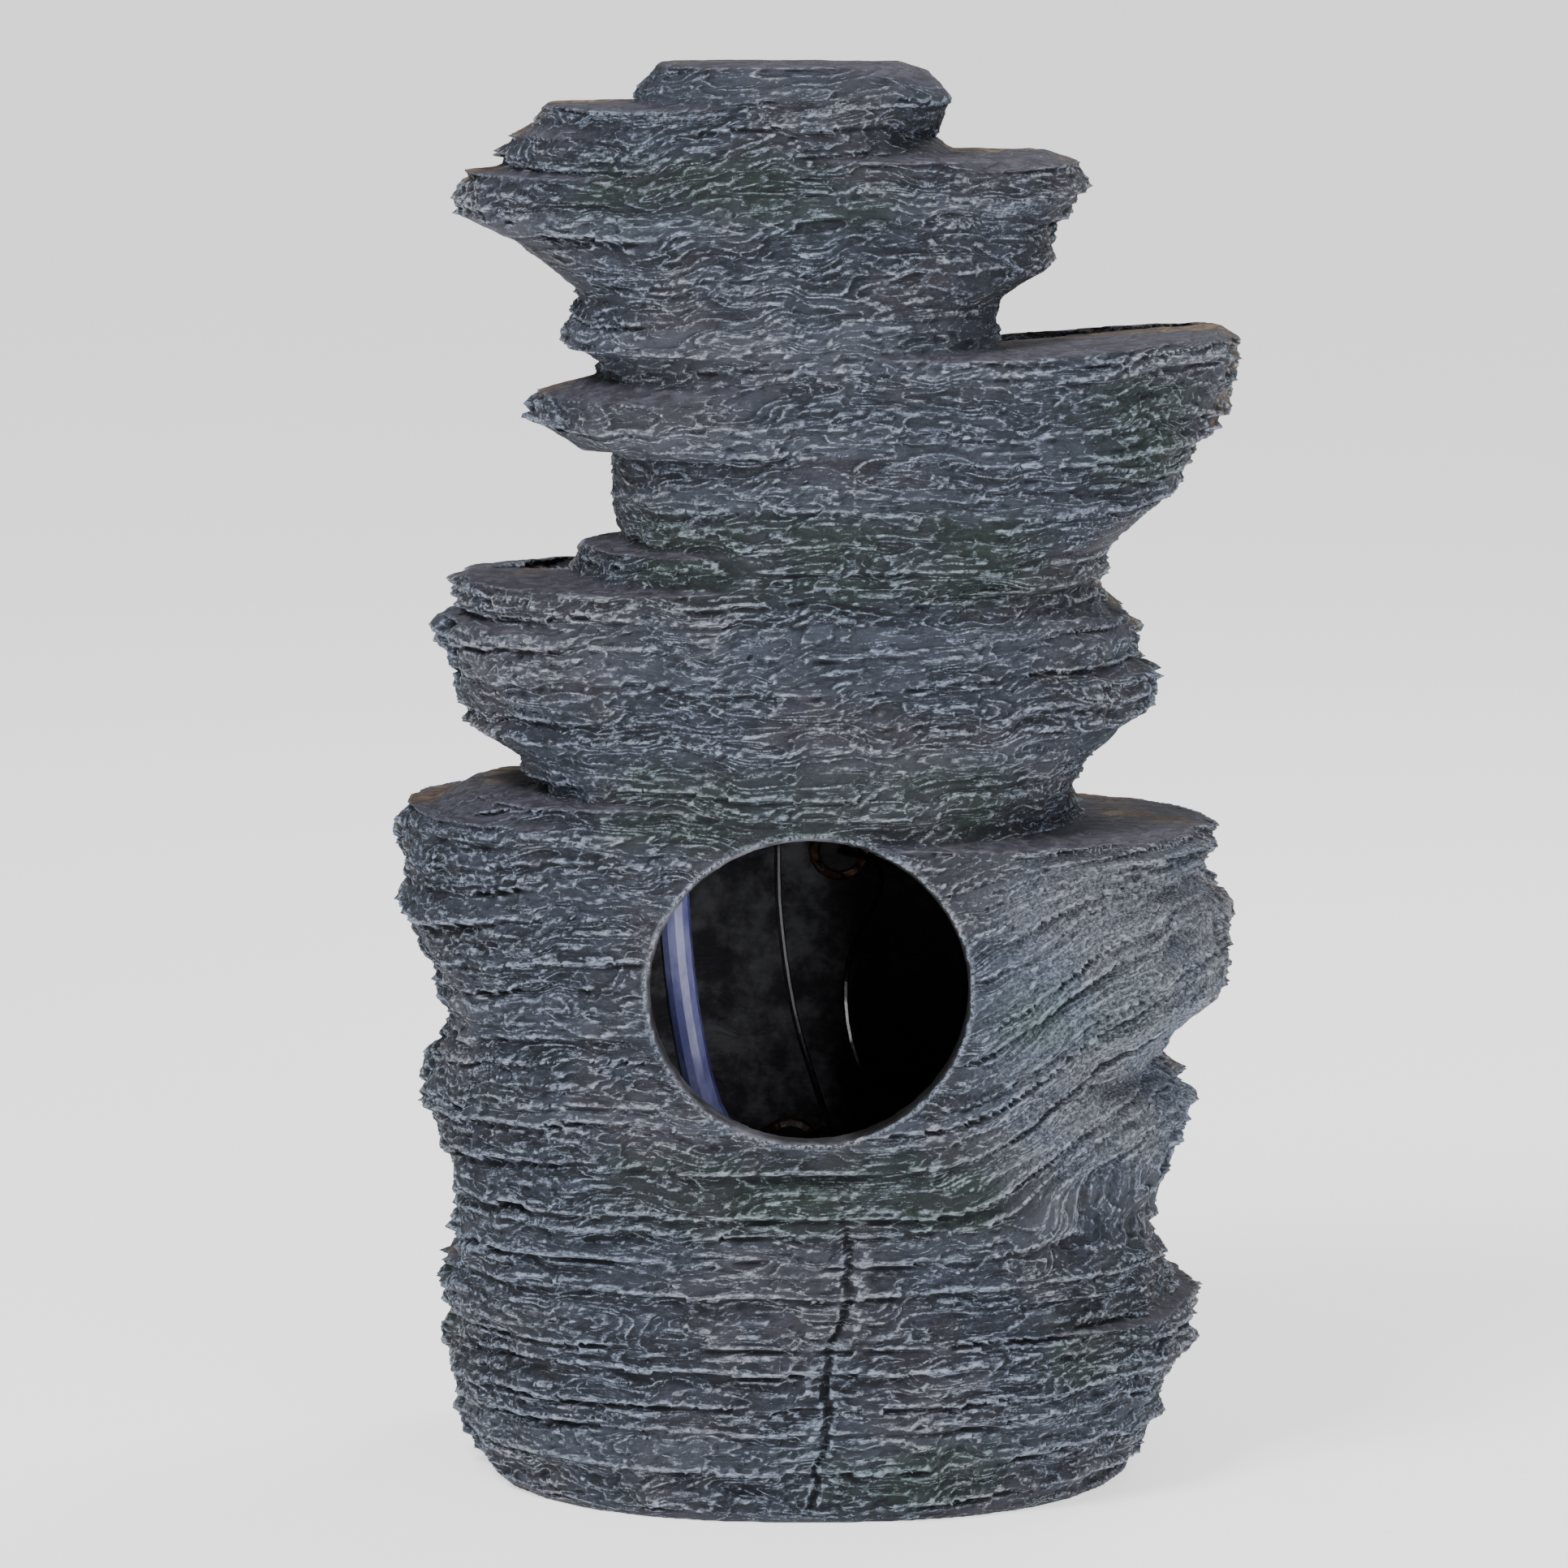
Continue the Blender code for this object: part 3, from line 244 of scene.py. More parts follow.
    # height along the bedding: it waves everywhere and climbs to the right beside the opening
    fan = ease(-x, 28, 90) * ease(z, 78, 110) * (1 - ease(z, 185, 215)) * back
    bed = z + 4.2 * value_noise(P * np.array([0.014, 0.014, 0.012]), 5) + 1.5 * value_noise(P * np.array([0.055, 0.055, 0.05]), 6)
    bed = bed + fan * 0.42 * (x + 28) + 0.02 * x
    low = 1 - ease(z, 95, 150)
    ends = ease(np.abs(x), 58, 96)
    strength = np.clip(0.30 + 0.60 * low + 0.55 * ends + 0.45 * fan + 0.6 * (1 - back), 0, 1.2)
    zero = np.zeros(n)

    def beds(pitch, seed):
        """Layer number, how far up the layer from 0 to 1, and the distance to its nearer edge in mm."""
        def edge_of(index):
            return pitch * (index + 0.85 * hashed(index, zero, zero, seed))

        k = np.floor(bed / pitch)
        k = np.where(bed < edge_of(k), k - 1, k)
        k = np.where(bed >= edge_of(k + 1), k + 1, k)
        under, over = bed - edge_of(k), edge_of(k + 1) - bed
        return k, under / np.maximum(under + over, 1e-6), under, over

    k, rise, under_mm, over_mm = beds(10.5, 31)
    layer = np.stack([x * 0.019 + 13.1 * k, y * 0.019 + 5.7 * k, 3.3 * k], 1)
    out_set = value_noise(layer, 40) + 0.6 * value_noise(layer * np.array([3.3, 3.3, 1]), 41)
    wedge = 0.9 * (1 - rise) ** 1.5 - 0.45
    runs = np.stack([x * 0.024 + 7.9 * k, y * 0.024 + 2.3 * k, 1.7 * k], 1)
    runs = value_noise(runs, 50) + 0.7 * value_noise(runs * np.array([4.1, 4.1, 1]), 51)
    there = ease(runs + 0.35 * (strength - 0.75), 0.08, 0.60)
    wide_cut = 0.5 + 0.9 * np.clip(runs, 0, 1)
    cut = there * (1 - ease(np.minimum(under_mm + 0.3, over_mm * 0.8), 0.15 * wide_cut, 1.15 * wide_cut))

    k2, rise2, under2, over2 = beds(3.7, 35)
    layer2 = np.stack([x * 0.05 + 11.3 * k2, y * 0.05 + 4.1 * k2, 2.9 * k2], 1)
    out2 = value_noise(layer2, 44) + 0.6 * value_noise(layer2 * np.array([3.7, 3.7, 1]), 45)
    thin = (out2 + 0.5 * (0.5 - rise2)) * (0.16 + 1.15 * ends * (1 - 0.45 * back) + 0.25 * low + 0.55 * (1 - back))

    # flakes: the wall drops from one flat scale to the next along ragged, mostly level lines
    warp = np.stack([value_noise(P * 0.06, 60), value_noise(P * 0.06, 61), value_noise(P * 0.09, 62)], 1)
    slope = np.stack([x, y, bed], 1) + warp * np.array([5.0, 5.0, 2.2])

    def flakes(size, steps, seed):
        q = slope / np.array(size)
        value = steps * layered(q, 3, seed)
        step = np.array([0.35, 0.35, 0.35])
        grads = []
        for axis in range(3):
            moved = slope.copy()
            moved[:, axis] += step[axis]
            grads.append((steps * layered(moved / np.array(size), 3, seed) - value) / step[axis])
        grad = np.stack(grads, 1)
        grad -= N * (grad * N).sum(1)[:, None]
        return value, np.clip(np.linalg.norm(grad, axis=1), 0.02, 2.0)

    big, big_grad = flakes((46.0, 46.0, 7.8), 5.2, 70)
    fine_v, fine_grad = flakes((19.0, 19.0, 3.6), 3.4, 90)

    def terrace(value):
        part = value - np.floor(value)
        return np.floor(value) + ease(part, 0.66, 1.0) + 0.12 * part

    def centred(value):
        return value - spread(P, value, E, 40)

    flake_push = 1.15 * terrace(big) + 0.42 * terrace(fine_v)
    flake_push = np.clip(flake_push - 1.15 * big - 0.42 * fine_v + 0.55 * big + 0.25 * fine_v, -3.2, 3.2)
    big1, big2, big_own = cells((slope + warp * 6) / np.array([33.0, 33.0, 15.0]), 110)
    grain = layered(P * np.array([0.34, 0.34, 0.55]), 3, 120)

    push = strength * (1.45 * out_set + 2.3 * wedge) - 2.3 * (0.45 + 0.6 * strength) * cut
    push = push + thin + 0.95 * flake_push + 0.8 * (big_own - 0.5) + 0.30 * grain
    # the ends of the slabs and the whole front are broken off more roughly
    chips1, chips2, chips_own = cells((P + warp * 5) / np.array([8.0, 8.0, 5.0]), 130)
    push = push + (ends * (1 - 0.5 * back) + 0.8 * (1 - back)) * (2.0 * (chips_own - 0.5) + 0.9 * (0.5 - chips1))

    # the crack down the lower back, and the mould seam above the opening
    line = np.array([(-9.2, 96), (-10.0, 88), (-9.4, 80), (-11.0, 71), (-9.6, 66), (-5.2, 58), (-3.4, 50), (-1.6, 44), (-3.6, 34), (-2.6, 26), (0.6, 16), (1.6, 5)], float)
    mid = np.interp(z, line[::-1, 1], line[::-1, 0])
    mid = mid + 1.2 * value_noise(np.stack([z * 0.16, zero, zero], 1), 140) + 0.6 * value_noise(np.stack([z * 0.5, zero, zero], 1), 143)
    off = np.abs(x - mid)
    here = back * ease(z, 1, 6) * (1 - ease(z, 86, 99))
    gape = 1.5 + 0.9 * value_noise(np.stack([z * 0.11, zero, zero], 1), 144) + 0.9 * ease(z, 20, 40) * (1 - ease(z, 66, 84))
    crack = here * (1 - ease(off, 0.15 * gape, 0.95 * gape))
    lips = here * np.exp(-((off - 5.0) / 2.8) ** 2) * np.clip(0.6 + 1.3 * value_noise(np.stack([z * 0.13, np.sign(x - mid) * 3.0, zero], 1), 141), 0, 2)
    push = push - 2.5 * crack + 2.2 * lips
    seam = back * np.exp(-((x + 12.0 + 1.6 * value_noise(np.stack([z * 0.03, zero, zero], 1), 142)) / 0.9) ** 2)
    seam = seam * ease(z, 215, 235) * (1 - ease(z, 350, 372))
    push = push + 0.25 * seam

    fibre = layered(np.stack([x * 0.09 + 0.3 * y, y * 0.75, z * 0.1], 1), 3, 150)
    side_move = push * wall * outer * calm * rim * (0.25 + 0.75 * foot)
    top_move = (0.42 * fibre + 0.45 * layered(P * np.array([0.05, 0.05, 0.02]), 2, 151)) * up * outer * calm
    under = ease(-N[:, 2], 0.5, 0.9) * outer * calm * ease(z, 3, 6)
    low_move = 0.8 * layered(P * 0.14, 3, 152) * under
    inner = layered(P * 0.055, 3, 160) * 0.9 * ease(inside, 0.5, 0.95)
    inner = inner * ease(np.abs(hole - 1.0) * 45 + np.where(y > 20, 0, 99), 3, 9)
    for name in ("riser_hose", "hose_clip_lower", "hose_clip_upper", "led_lead_1", "led_lead_2", "led_lead_3", "led_sealant_1",
                 "led_sealant_2", "led_sealant_3", "lead_junction_box", "socket_lead", "pump_motor_housing", "impeller_chamber",
                 "suction_cup_1", "suction_cup_2", "suction_cup_3", "suction_cup_4", "spout_washer"):
        lo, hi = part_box(name)
        lo, hi = np.array(lo) * 1000, np.array(hi) * 1000
        away = np.linalg.norm(np.maximum(np.maximum(lo - P, P - hi), 0), axis=1)
        inner = inner * ease(away, 1.0, 6.0)

    Q = P + H * side_move[:, None]
    Q[:, 2] += top_move - low_move
    Q += N * np.minimum(inner, 0.6)[:, None]
    Q[:, 2] = np.where(P[:, 2] < 0.9, P[:, 2], np.maximum(Q[:, 2], 0.4))
    low_mm, high_mm = np.array(CAD_LOW) * 1000, np.array(CAD_HIGH) * 1000
    Q = np.clip(Q, low_mm - 2.0, high_mm + 2.0)
    Q[:, 2] = np.clip(Q[:, 2], 0.0, high_mm[2] + 1.0)

    # how far each point stands proud of its neighbours, fine and broad
    mean = np.stack([spread(Q, Q[:, c], E, 2) for c in range(3)], 1)
    fine.vertices.foreach_set("co", (Q * MM).astype(np.float32).ravel())
    fine.update()
    fine.vertex_normals.foreach_get("vector", no)
    N2 = no.reshape(-1, 3).astype(float)
    proud = ((Q - mean) * N2).sum(1)
    mean = np.stack([spread(Q, Q[:, c], E, 14) for c in range(3)], 1)
    broad = ((Q - mean) * N2).sum(1)

    # moss tint: bands on the back, loose patches elsewhere
    moss = np.zeros(n)
    for x0, x1, z0, z1 in ((-24, 76, 401, 420), (-118, -84, 320, 352), (-70, 58, 285, 310), (-62, 62, 211, 234),
                           (-104, -60, 148, 166), (-60, 64, 92, 114), (-98, -70, 42, 62), (-60, 2, 6, 24)):
        moss = np.maximum(moss, ease(x, x0 - 12, x0 + 10) * (1 - ease(x, x1 - 10, x1 + 12)) * ease(z, z0 - 7, z0 + 5) * (1 - ease(z, z1 - 5, z1 + 7)))
    moss = moss * back + (1 - back) * ease(layered(P * 0.018, 2, 170), 0.02, 0.35)
    moss = np.clip(moss * (0.75 + 0.8 * layered(P * 0.06, 3, 171)), 0, 1)
    pale = ease(-x, 38, 80) * ease(z, 92, 120) * (1 - ease(z, 190, 215)) * back
    tan = up * (1 - ease(y, 8, 32)) * ease(layered(P * 0.03, 3, 180) + 0.0018 * (z - 200), -0.05, 0.30)
    tan = np.maximum(tan, 0.8 * (1 - back) * ease(big_own, 0.80, 0.86) * wall)

    for name, values in (
        ("inside", inside), ("up", up * outer), ("big", big), ("big_grad", big_grad), ("fine", fine_v), ("fine_grad", fine_grad),
        ("own", big_own), ("bed", bed), ("cut", np.clip(cut * (0.4 + 0.6 * strength) * wall + 0.30 * crack, 0, 1) * outer), ("proud", proud), ("broad", broad),
        ("moss", moss), ("pale", pale), ("tan", tan), ("slab", hashed(k, zero, zero, 33)), ("back", back),
        ("rim", outer * np.where(y > 20, 1 - ease(np.abs(hole - 1.022), 0.004, 0.026), 0.0)),
    ):
        a = fine.attributes.new(name, "FLOAT", "POINT")
        a.data.foreach_set("value", values.astype(np.float32))
    fine.shade_smooth()
    return ob


# ---- materials ---------------------------------------------------------------------------
def srgb(r, g, b):
    return tuple((c / 255 / 12.92) if c / 255 <= 0.04045 else ((c / 255 + 0.055) / 1.055) ** 2.4 for c in (r, g, b)) + (1.0,)


class Shade:
    """A node tree with the few calls that the materials below need."""

    def __init__(self, name):
        self.mat = bpy.data.materials.new(name)
        self.mat.use_nodes = True
        self.tree = self.mat.node_tree
        self.bsdf = self.tree.nodes["Principled BSDF"]

    def node(self, kind, **sets):
        nd = self.tree.nodes.new(kind)
        for key, value in sets.items():
            setattr(nd, key, value)
        return nd

    def put(self, socket, value):
        if isinstance(value, bpy.types.NodeSocket):
            self.tree.links.new(value, socket)
        else:
            socket.default_value = value

    def where(self, scale=(1, 1, 1)):
        tc = self.node("ShaderNodeTexCoord")
        mp = self.node("ShaderNodeMapping")
        mp.inputs["Scale"].default_value = tuple(1000.0 * s for s in scale)
        self.tree.links.new(tc.outputs["Object"], mp.inputs["Vector"])
        return mp.outputs["Vector"]

    def noise(self, at, scale, detail=3.0, rough=0.55, distortion=0.0):
        nd = self.node("ShaderNodeTexNoise")
        self.put(nd.inputs["Vector"], at)
        nd.inputs["Scale"].default_value = scale
        nd.inputs["Detail"].default_value = detail
        nd.inputs["Roughness"].default_value = rough
        nd.inputs["Distortion"].default_value = distortion
        return nd.outputs["Fac"]

    def voronoi(self, at, scale, feature="F1", out="Distance"):
        nd = self.node("ShaderNodeTexVoronoi", feature=feature)
        self.put(nd.inputs["Vector"], at)
        nd.inputs["Scale"].default_value = scale
        return nd.outputs[out]

    def attr(self, name):
        return self.node("ShaderNodeAttribute", attribute_name=name).outputs["Fac"]

    def math(self, op, a, b=0.0, c=0.0, clamp=False):
        nd = self.node("ShaderNodeMath", operation=op, use_clamp=clamp)
        self.put(nd.inputs[0], a)
        self.put(nd.inputs[1], b)
        self.put(nd.inputs[2], c)
        return nd.outputs[0]

    def span(self, value, low, high, a=0.0, b=1.0):
        nd = self.node("ShaderNodeMapRange", interpolation_type="SMOOTHSTEP")
        self.put(nd.inputs["Value"], value)
        nd.inputs["From Min"].default_value = low
        nd.inputs["From Max"].default_value = high
        nd.inputs["To Min"].default_value = a
        nd.inputs["To Max"].default_value = b
        return nd.outputs["Result"]

    def mix(self, fac, a, b, blend="MIX"):
        nd = self.node("ShaderNodeMix", data_type="RGBA", blend_type=blend)
        self.put(nd.inputs[0], fac)
        self.put(nd.inputs[6], a)
        self.put(nd.inputs[7], b)
        return nd.outputs[2]

    def bump(self, height, distance, strength=1.0, under=None):
        nd = self.node("ShaderNodeBump")
        nd.inputs["Distance"].default_value = distance
        nd.inputs["Strength"].default_value = strength
        self.put(nd.inputs["Height"], height)
        if under is not None:
            self.put(nd.inputs["Normal"], under)
        return nd.outputs["Normal"]

    def set(self, **values):
        for key, value in values.items():
            self.put(self.bsdf.inputs[key.replace("_", " ")], value)
        return self.mat


def rock_material():
    s = Shade("painted_slate")
    at = s.where()
    flat = s.where((1.0, 1.0, 2.2))
    inside, up, moss, pale, tan = (s.attr(k) for k in ("inside", "up", "moss", "pale", "tan"))
    own, cut, big, big_grad = (s.attr(k) for k in ("own", "cut", "big", "big_grad"))
    proud, broad, slab, rim, fine, fine_grad = (s.attr(k) for k in ("proud", "broad", "slab", "rim", "fine", "fine_grad"))

    # coordinates that run along the bedding, in millimetres
    part = s.node("ShaderNodeSeparateXYZ")
    s.put(part.inputs[0], at)
    along = s.node("ShaderNodeCombineXYZ")
    s.put(along.inputs[0], part.outputs[0])
    s.put(along.inputs[1], part.outputs[1])
    s.put(along.inputs[2], s.math("MULTIPLY", s.attr("bed"), 3.2))
    along = along.outputs[0]

    wide = s.noise(at, 0.022, 4.0, 0.6)
    mid = s.noise(along, 0.055, 5.0, 0.65)
    small = s.noise(along, 0.22, 5.0, 0.7)
    streak = s.noise(along, 0.36, 6.0, 0.78)
    tiny = s.noise(at, 2.1, 4.0, 0.75)
    grit = s.noise(at, 0.95, 6.0, 0.8)
    tear = s.noise(along, 0.30, 6.0, 0.75)

    def rim_line(value, grad, ragged, low, high):
        """How far below the upper edge of a flake, in mm, then how strongly it is a rim."""
        v = s.math("ADD", value, s.math("MULTIPLY", s.math("SUBTRACT", tear, 0.5), ragged))
        f = s.math("FRACT", v)
        above = s.math("DIVIDE", f, grad)
        below = s.math("DIVIDE", s.math("SUBTRACT", 1.0, f), grad)
        return f, s.span(s.math("MINIMUM", s.math("MULTIPLY", above, 2.6), below), high, low)

    big_f, big_rim = rim_line(big, big_grad, 0.55, 0.10, 0.52)
    fine_f, fine_rim = rim_line(fine, fine_grad, 0.80, 0.05, 0.40)

    col = s.mix(s.span(mid, 0.36, 0.66), srgb(22, 25, 32), srgb(49, 54, 66))
    col = s.mix(s.span(streak, 0.50, 0.66, 0.0, 0.55), col, srgb(84, 91, 108))
    col = s.mix(s.span(wide, 0.44, 0.62, 0.0, 0.50), col, srgb(70, 68, 75))
    col = s.mix(s.span(slab, 0.60, 1.0, 0.0, 0.25), col, srgb(88, 96, 110))
    col = s.mix(s.span(own, 0.60, 1.0, 0.0, 0.40), col, srgb(40, 44, 53))
    green = s.mix(s.span(small, 0.38, 0.62), srgb(18, 26, 23), srgb(41, 53, 47))
    col = s.mix(s.math("MULTIPLY", moss, s.span(mid, 0.30, 0.62, 0.50, 1.0)), col, green)
    top = s.mix(s.span(small, 0.35, 0.68), srgb(60, 58, 68), srgb(104, 103, 116))
    col = s.mix(s.math("MULTIPLY", up, 0.80), col, top)
    rust = s.mix(s.span(mid, 0.38, 0.62), srgb(104, 78, 52), srgb(156, 132, 100))
    col = s.mix(s.math("MULTIPLY", tan, s.span(small, 0.34, 0.60, 0.15, 0.85)), col, rust)

    # painted shade: darker in the hollows, in the crevices and the crack, and in a band at the foot of each flake where
    # shadow falls; dark streaks from noise share the same mask
    hollow = s.math("MAXIMUM", s.span(broad, -0.15, -1.10), cut)
    hollow = s.math("MAXIMUM", hollow, s.span(proud, -0.04, -0.30, 0.0, 0.80))
    hollow = s.math("MAXIMUM", hollow, s.span(streak, 0.45, 0.32, 0.0, 0.70))
    # painted shadow: a dark band low on each flake, under the rim above it
    foot_shadow = s.math("MULTIPLY", s.span(big_f, 0.55, 0.80), s.span(big_f, 0.96, 0.84))
    hollow = s.math("MAXIMUM", hollow, s.math("MULTIPLY", foot_shadow, s.span(small, 0.40, 0.62, 0.15, 0.70)))
    col = s.mix(s.math("MULTIPLY", hollow, 0.88), col, srgb(21, 24, 30))

    # pale dry brush on the flakes' rims and on whatever stands proud
    broken = s.span(s.noise(along, 0.13, 5.0, 0.75), 0.43, 0.60)
    chatter = s.span(grit, 0.40, 0.56)
    brush = s.math("MULTIPLY", s.math("MULTIPLY", big_rim, chatter), s.math("MAXIMUM", broken, s.math("MULTIPLY", pale, 0.9)))
    broken2 = s.span(s.noise(along, 0.19, 5.0, 0.75), 0.46, 0.62)
    brush2 = s.math("MULTIPLY", s.math("MULTIPLY", fine_rim, chatter), s.math("MAXIMUM", s.math("MULTIPLY", broken2, 0.85), s.math("MULTIPLY", pale, 0.6)))
    brush = s.math("MAXIMUM", brush, brush2)
    edge = s.math("MULTIPLY", s.span(proud, 0.06, 0.30), s.span(streak, 0.42, 0.58, 0.12, 1.0))
    brush = s.math("MAXIMUM", brush, s.math("MULTIPLY", edge, 0.9))
    fleck = s.math("MULTIPLY", s.span(tiny, 0.59, 0.70), s.span(s.noise(along, 0.10, 4.0, 0.7), 0.46, 0.64, 0.06, 0.9))
    brush = s.math("MAXIMUM", brush, s.math("MULTIPLY", fleck, 0.70))
    haze = s.math("MULTIPLY", pale, s.span(grit, 0.42, 0.62, 0.05, 0.50))
    brush = s.math("MAXIMUM", brush, haze)
    brush = s.math("MAXIMUM", brush, s.math("MULTIPLY", rim, s.span(grit, 0.44, 0.54, 0.0, 0.9)))
    brush = s.math("MULTIPLY", brush, s.math("SUBTRACT", 1.0, s.math("MULTIPLY", up, 0.55)))
    brush = s.math("MULTIPLY", brush, s.math("SUBTRACT", 1.0, s.math("MULTIPLY", cut, 0.9)), clamp=True)
    chalk = s.mix(s.span(wide, 0.4, 0.6), srgb(176, 190, 214), srgb(192, 199, 212))
    chalk = s.mix(s.math("MULTIPLY", moss, 0.6), chalk, srgb(158, 180, 182))
    col = s.mix(s.math("MULTIPLY", brush, 0.86), col, chalk)

    # the unpainted hollow is near black resin; the grey mixed in over one side of it is painted light, the light that
    # falls in through the opening
    side = s.span(part.outputs[0], -16.0, 2.0)
    grey = s.mix(s.span(s.noise(at, 0.075, 5.0, 0.65), 0.40, 0.66), srgb(62, 62, 67), srgb(116, 116, 124))
    grey = s.mix(s.span(tiny, 0.60, 0.74, 0.0, 0.6), grey, srgb(128, 120, 112))
    black = s.mix(s.span(s.noise(at, 0.11, 4.0, 0.6), 0.5, 0.7), srgb(20, 20, 21), srgb(36, 36, 38))
    # painted light: grey where x is above about -16 mm, fading to near black beyond
    inner_dark_and_painted_light = s.mix(side, black, grey)
    shut = s.span(inside, 0.35, 0.65)
    col = s.mix(shut, col, inner_dark_and_painted_light)

    height = s.math("ADD", s.math("MULTIPLY", streak, 0.75), s.math("MULTIPLY", grit, 0.40))
    height = s.math("ADD", height, s.math("MULTIPLY", tiny, 0.20))
    height = s.math("ADD", height, s.math("MULTIPLY", s.span(fine_f, 0.60, 0.98), 0.30))
    height = s.math("ADD", height, s.math("MULTIPLY", s.span(big_f, 0.62, 0.98), 0.35))
    height = s.math("ADD", height, s.math("MULTIPLY", brush, 0.16))
    height = s.math("SUBTRACT", height, s.math("MULTIPLY", cut, 0.8))
    rough = s.math("ADD", s.span(small, 0.3, 0.7, 0.62, 0.86), s.math("MULTIPLY", shut, -0.22))
    return s.set(Base_Color=col, Roughness=rough, Normal=s.bump(height, 0.0012, 0.85), Specular_IOR_Level=0.34)


def plain(name, dark, light, rough=(0.4, 0.6), scale=0.3, metal=0.0, bump=0.0002, grain=2.0, **more):
    """Moulded, cast or drawn stock with mottling, uneven gloss and a fine surface."""
    s = Shade(name)
    at = s.where()
    a, b, c = s.noise(at, scale, 4.0, 0.6), s.noise(at, scale * 3.3, 3.0, 0.6), s.noise(at, grain, 3.0, 0.6)
    col = s.mix(s.span(a, 0.35, 0.65), srgb(*dark), srgb(*light))
    col = s.mix(s.span(c, 0.62, 0.75, 0.0, 0.3), col, srgb(*[min(255, v + 26) for v in light]))
    s.set(Base_Color=col, Roughness=s.span(b, 0.3, 0.7, *rough), Metallic=metal, Normal=s.bump(c, bump, 0.5))
    for key, value in more.items():
        s.bsdf.inputs[key.replace("_", " ")].default_value = value
    return s.mat


def hose_material():
    s = Shade("tinted_vinyl_hose")
    at = s.where()
    cloud = s.noise(s.where((1, 1, 0.35)), 0.12, 4.0, 0.6)
    # painted shade: the hose is coloured a darker, deeper blue towards its edges as seen from the camera
    edge = s.node("ShaderNodeLayerWeight")
    edge.inputs["Blend"].default_value = 0.42
    col = s.mix(s.span(cloud, 0.36, 0.66), srgb(104, 106, 158), srgb(150, 152, 196))
    col = s.mix(s.math("MULTIPLY", edge.outputs["Facing"], 0.75), col, srgb(64, 64, 150))
    fine = s.noise(at, 1.6, 3.0, 0.6)
    return s.set(Base_Color=col, Roughness=s.span(cloud, 0.3, 0.7, 0.12, 0.26), Transmission_Weight=0.25, IOR=1.45,
                 Coat_Weight=0.5, Coat_Roughness=0.08, Normal=s.bump(fine, 0.0001, 0.4))


def amber_material():
    s = Shade("amber_sealant")
    at = s.where()
    run = s.noise(at, 0.28, 4.0, 0.6, 0.6)
    col = s.mix(s.span(run, 0.36, 0.64), srgb(18, 11, 5), srgb(84, 54, 23))
    return s.set(Base_Color=col, Roughness=s.span(run, 0.3, 0.7, 0.10, 0.22), Transmission_Weight=0.25, IOR=1.5,
                 Coat_Weight=0.6, Coat_Roughness=0.06, Normal=s.bump(run, 0.0022, 0.9))


def lens_material():
    s = Shade("lens_clear")
    at = s.where()
    haze = s.noise(at, 0.5, 3.0, 0.6)
    col = s.mix(s.span(haze, 0.3, 0.7), srgb(206, 212, 216), srgb(236, 240, 242))
    return s.set(Base_Color=col, Roughness=s.span(haze, 0.3, 0.7, 0.05, 0.14), Transmission_Weight=0.8, IOR=1.49,
                 Normal=s.bump(haze, 0.0001, 0.3))


def sponge_material():
    s = Shade("filter_foam")
    at = s.where()
    pore = s.voronoi(at, 0.9)
    fine = s.noise(at, 1.4, 4.0, 0.7)
    col = s.mix(s.span(pore, 0.15, 0.55), srgb(16, 17, 19), srgb(58, 60, 64))
    col = s.mix(s.span(fine, 0.5, 0.75, 0.0, 0.4), col, srgb(84, 86, 90))
    return s.set(Base_Color=col, Roughness=0.95, Normal=s.bump(pore, 0.0012, 0.9))


def wound_material():
    s = Shade("enamelled_winding")
    turns = s.node("ShaderNodeTexWave", wave_type="BANDS", bands_direction="Y")
    s.put(turns.inputs["Vector"], s.where())
    turns.inputs["Scale"].default_value = 0.55
    turns.inputs["Distortion"].default_value = 0.6
    w = turns.outputs["Fac"]
    col = s.mix(w, srgb(96, 40, 16), srgb(198, 110, 58))
    return s.set(Base_Color=col, Metallic=0.85, Roughness=s.span(s.noise(s.where(), 0.3), 0.3, 0.7, 0.22, 0.4),
                 Normal=s.bump(w, 0.0004, 0.8))


def laminated_material():
    s = Shade("core_laminations")
    sheets = s.node("ShaderNodeTexWave", wave_type="BANDS", bands_direction="X")
    s.put(sheets.inputs["Vector"], s.where())
    sheets.inputs["Scale"].default_value = 0.6
    w = sheets.outputs["Fac"]
    stain = s.noise(s.where(), 0.2, 4.0, 0.6)
    col = s.mix(w, srgb(56, 58, 62), srgb(132, 134, 138))
    col = s.mix(s.span(stain, 0.55, 0.7, 0.0, 0.5), col, srgb(104, 72, 50))
    return s.set(Base_Color=col, Metallic=0.9, Roughness=s.span(stain, 0.3, 0.7, 0.32, 0.55), Normal=s.bump(w, 0.0003, 0.8))


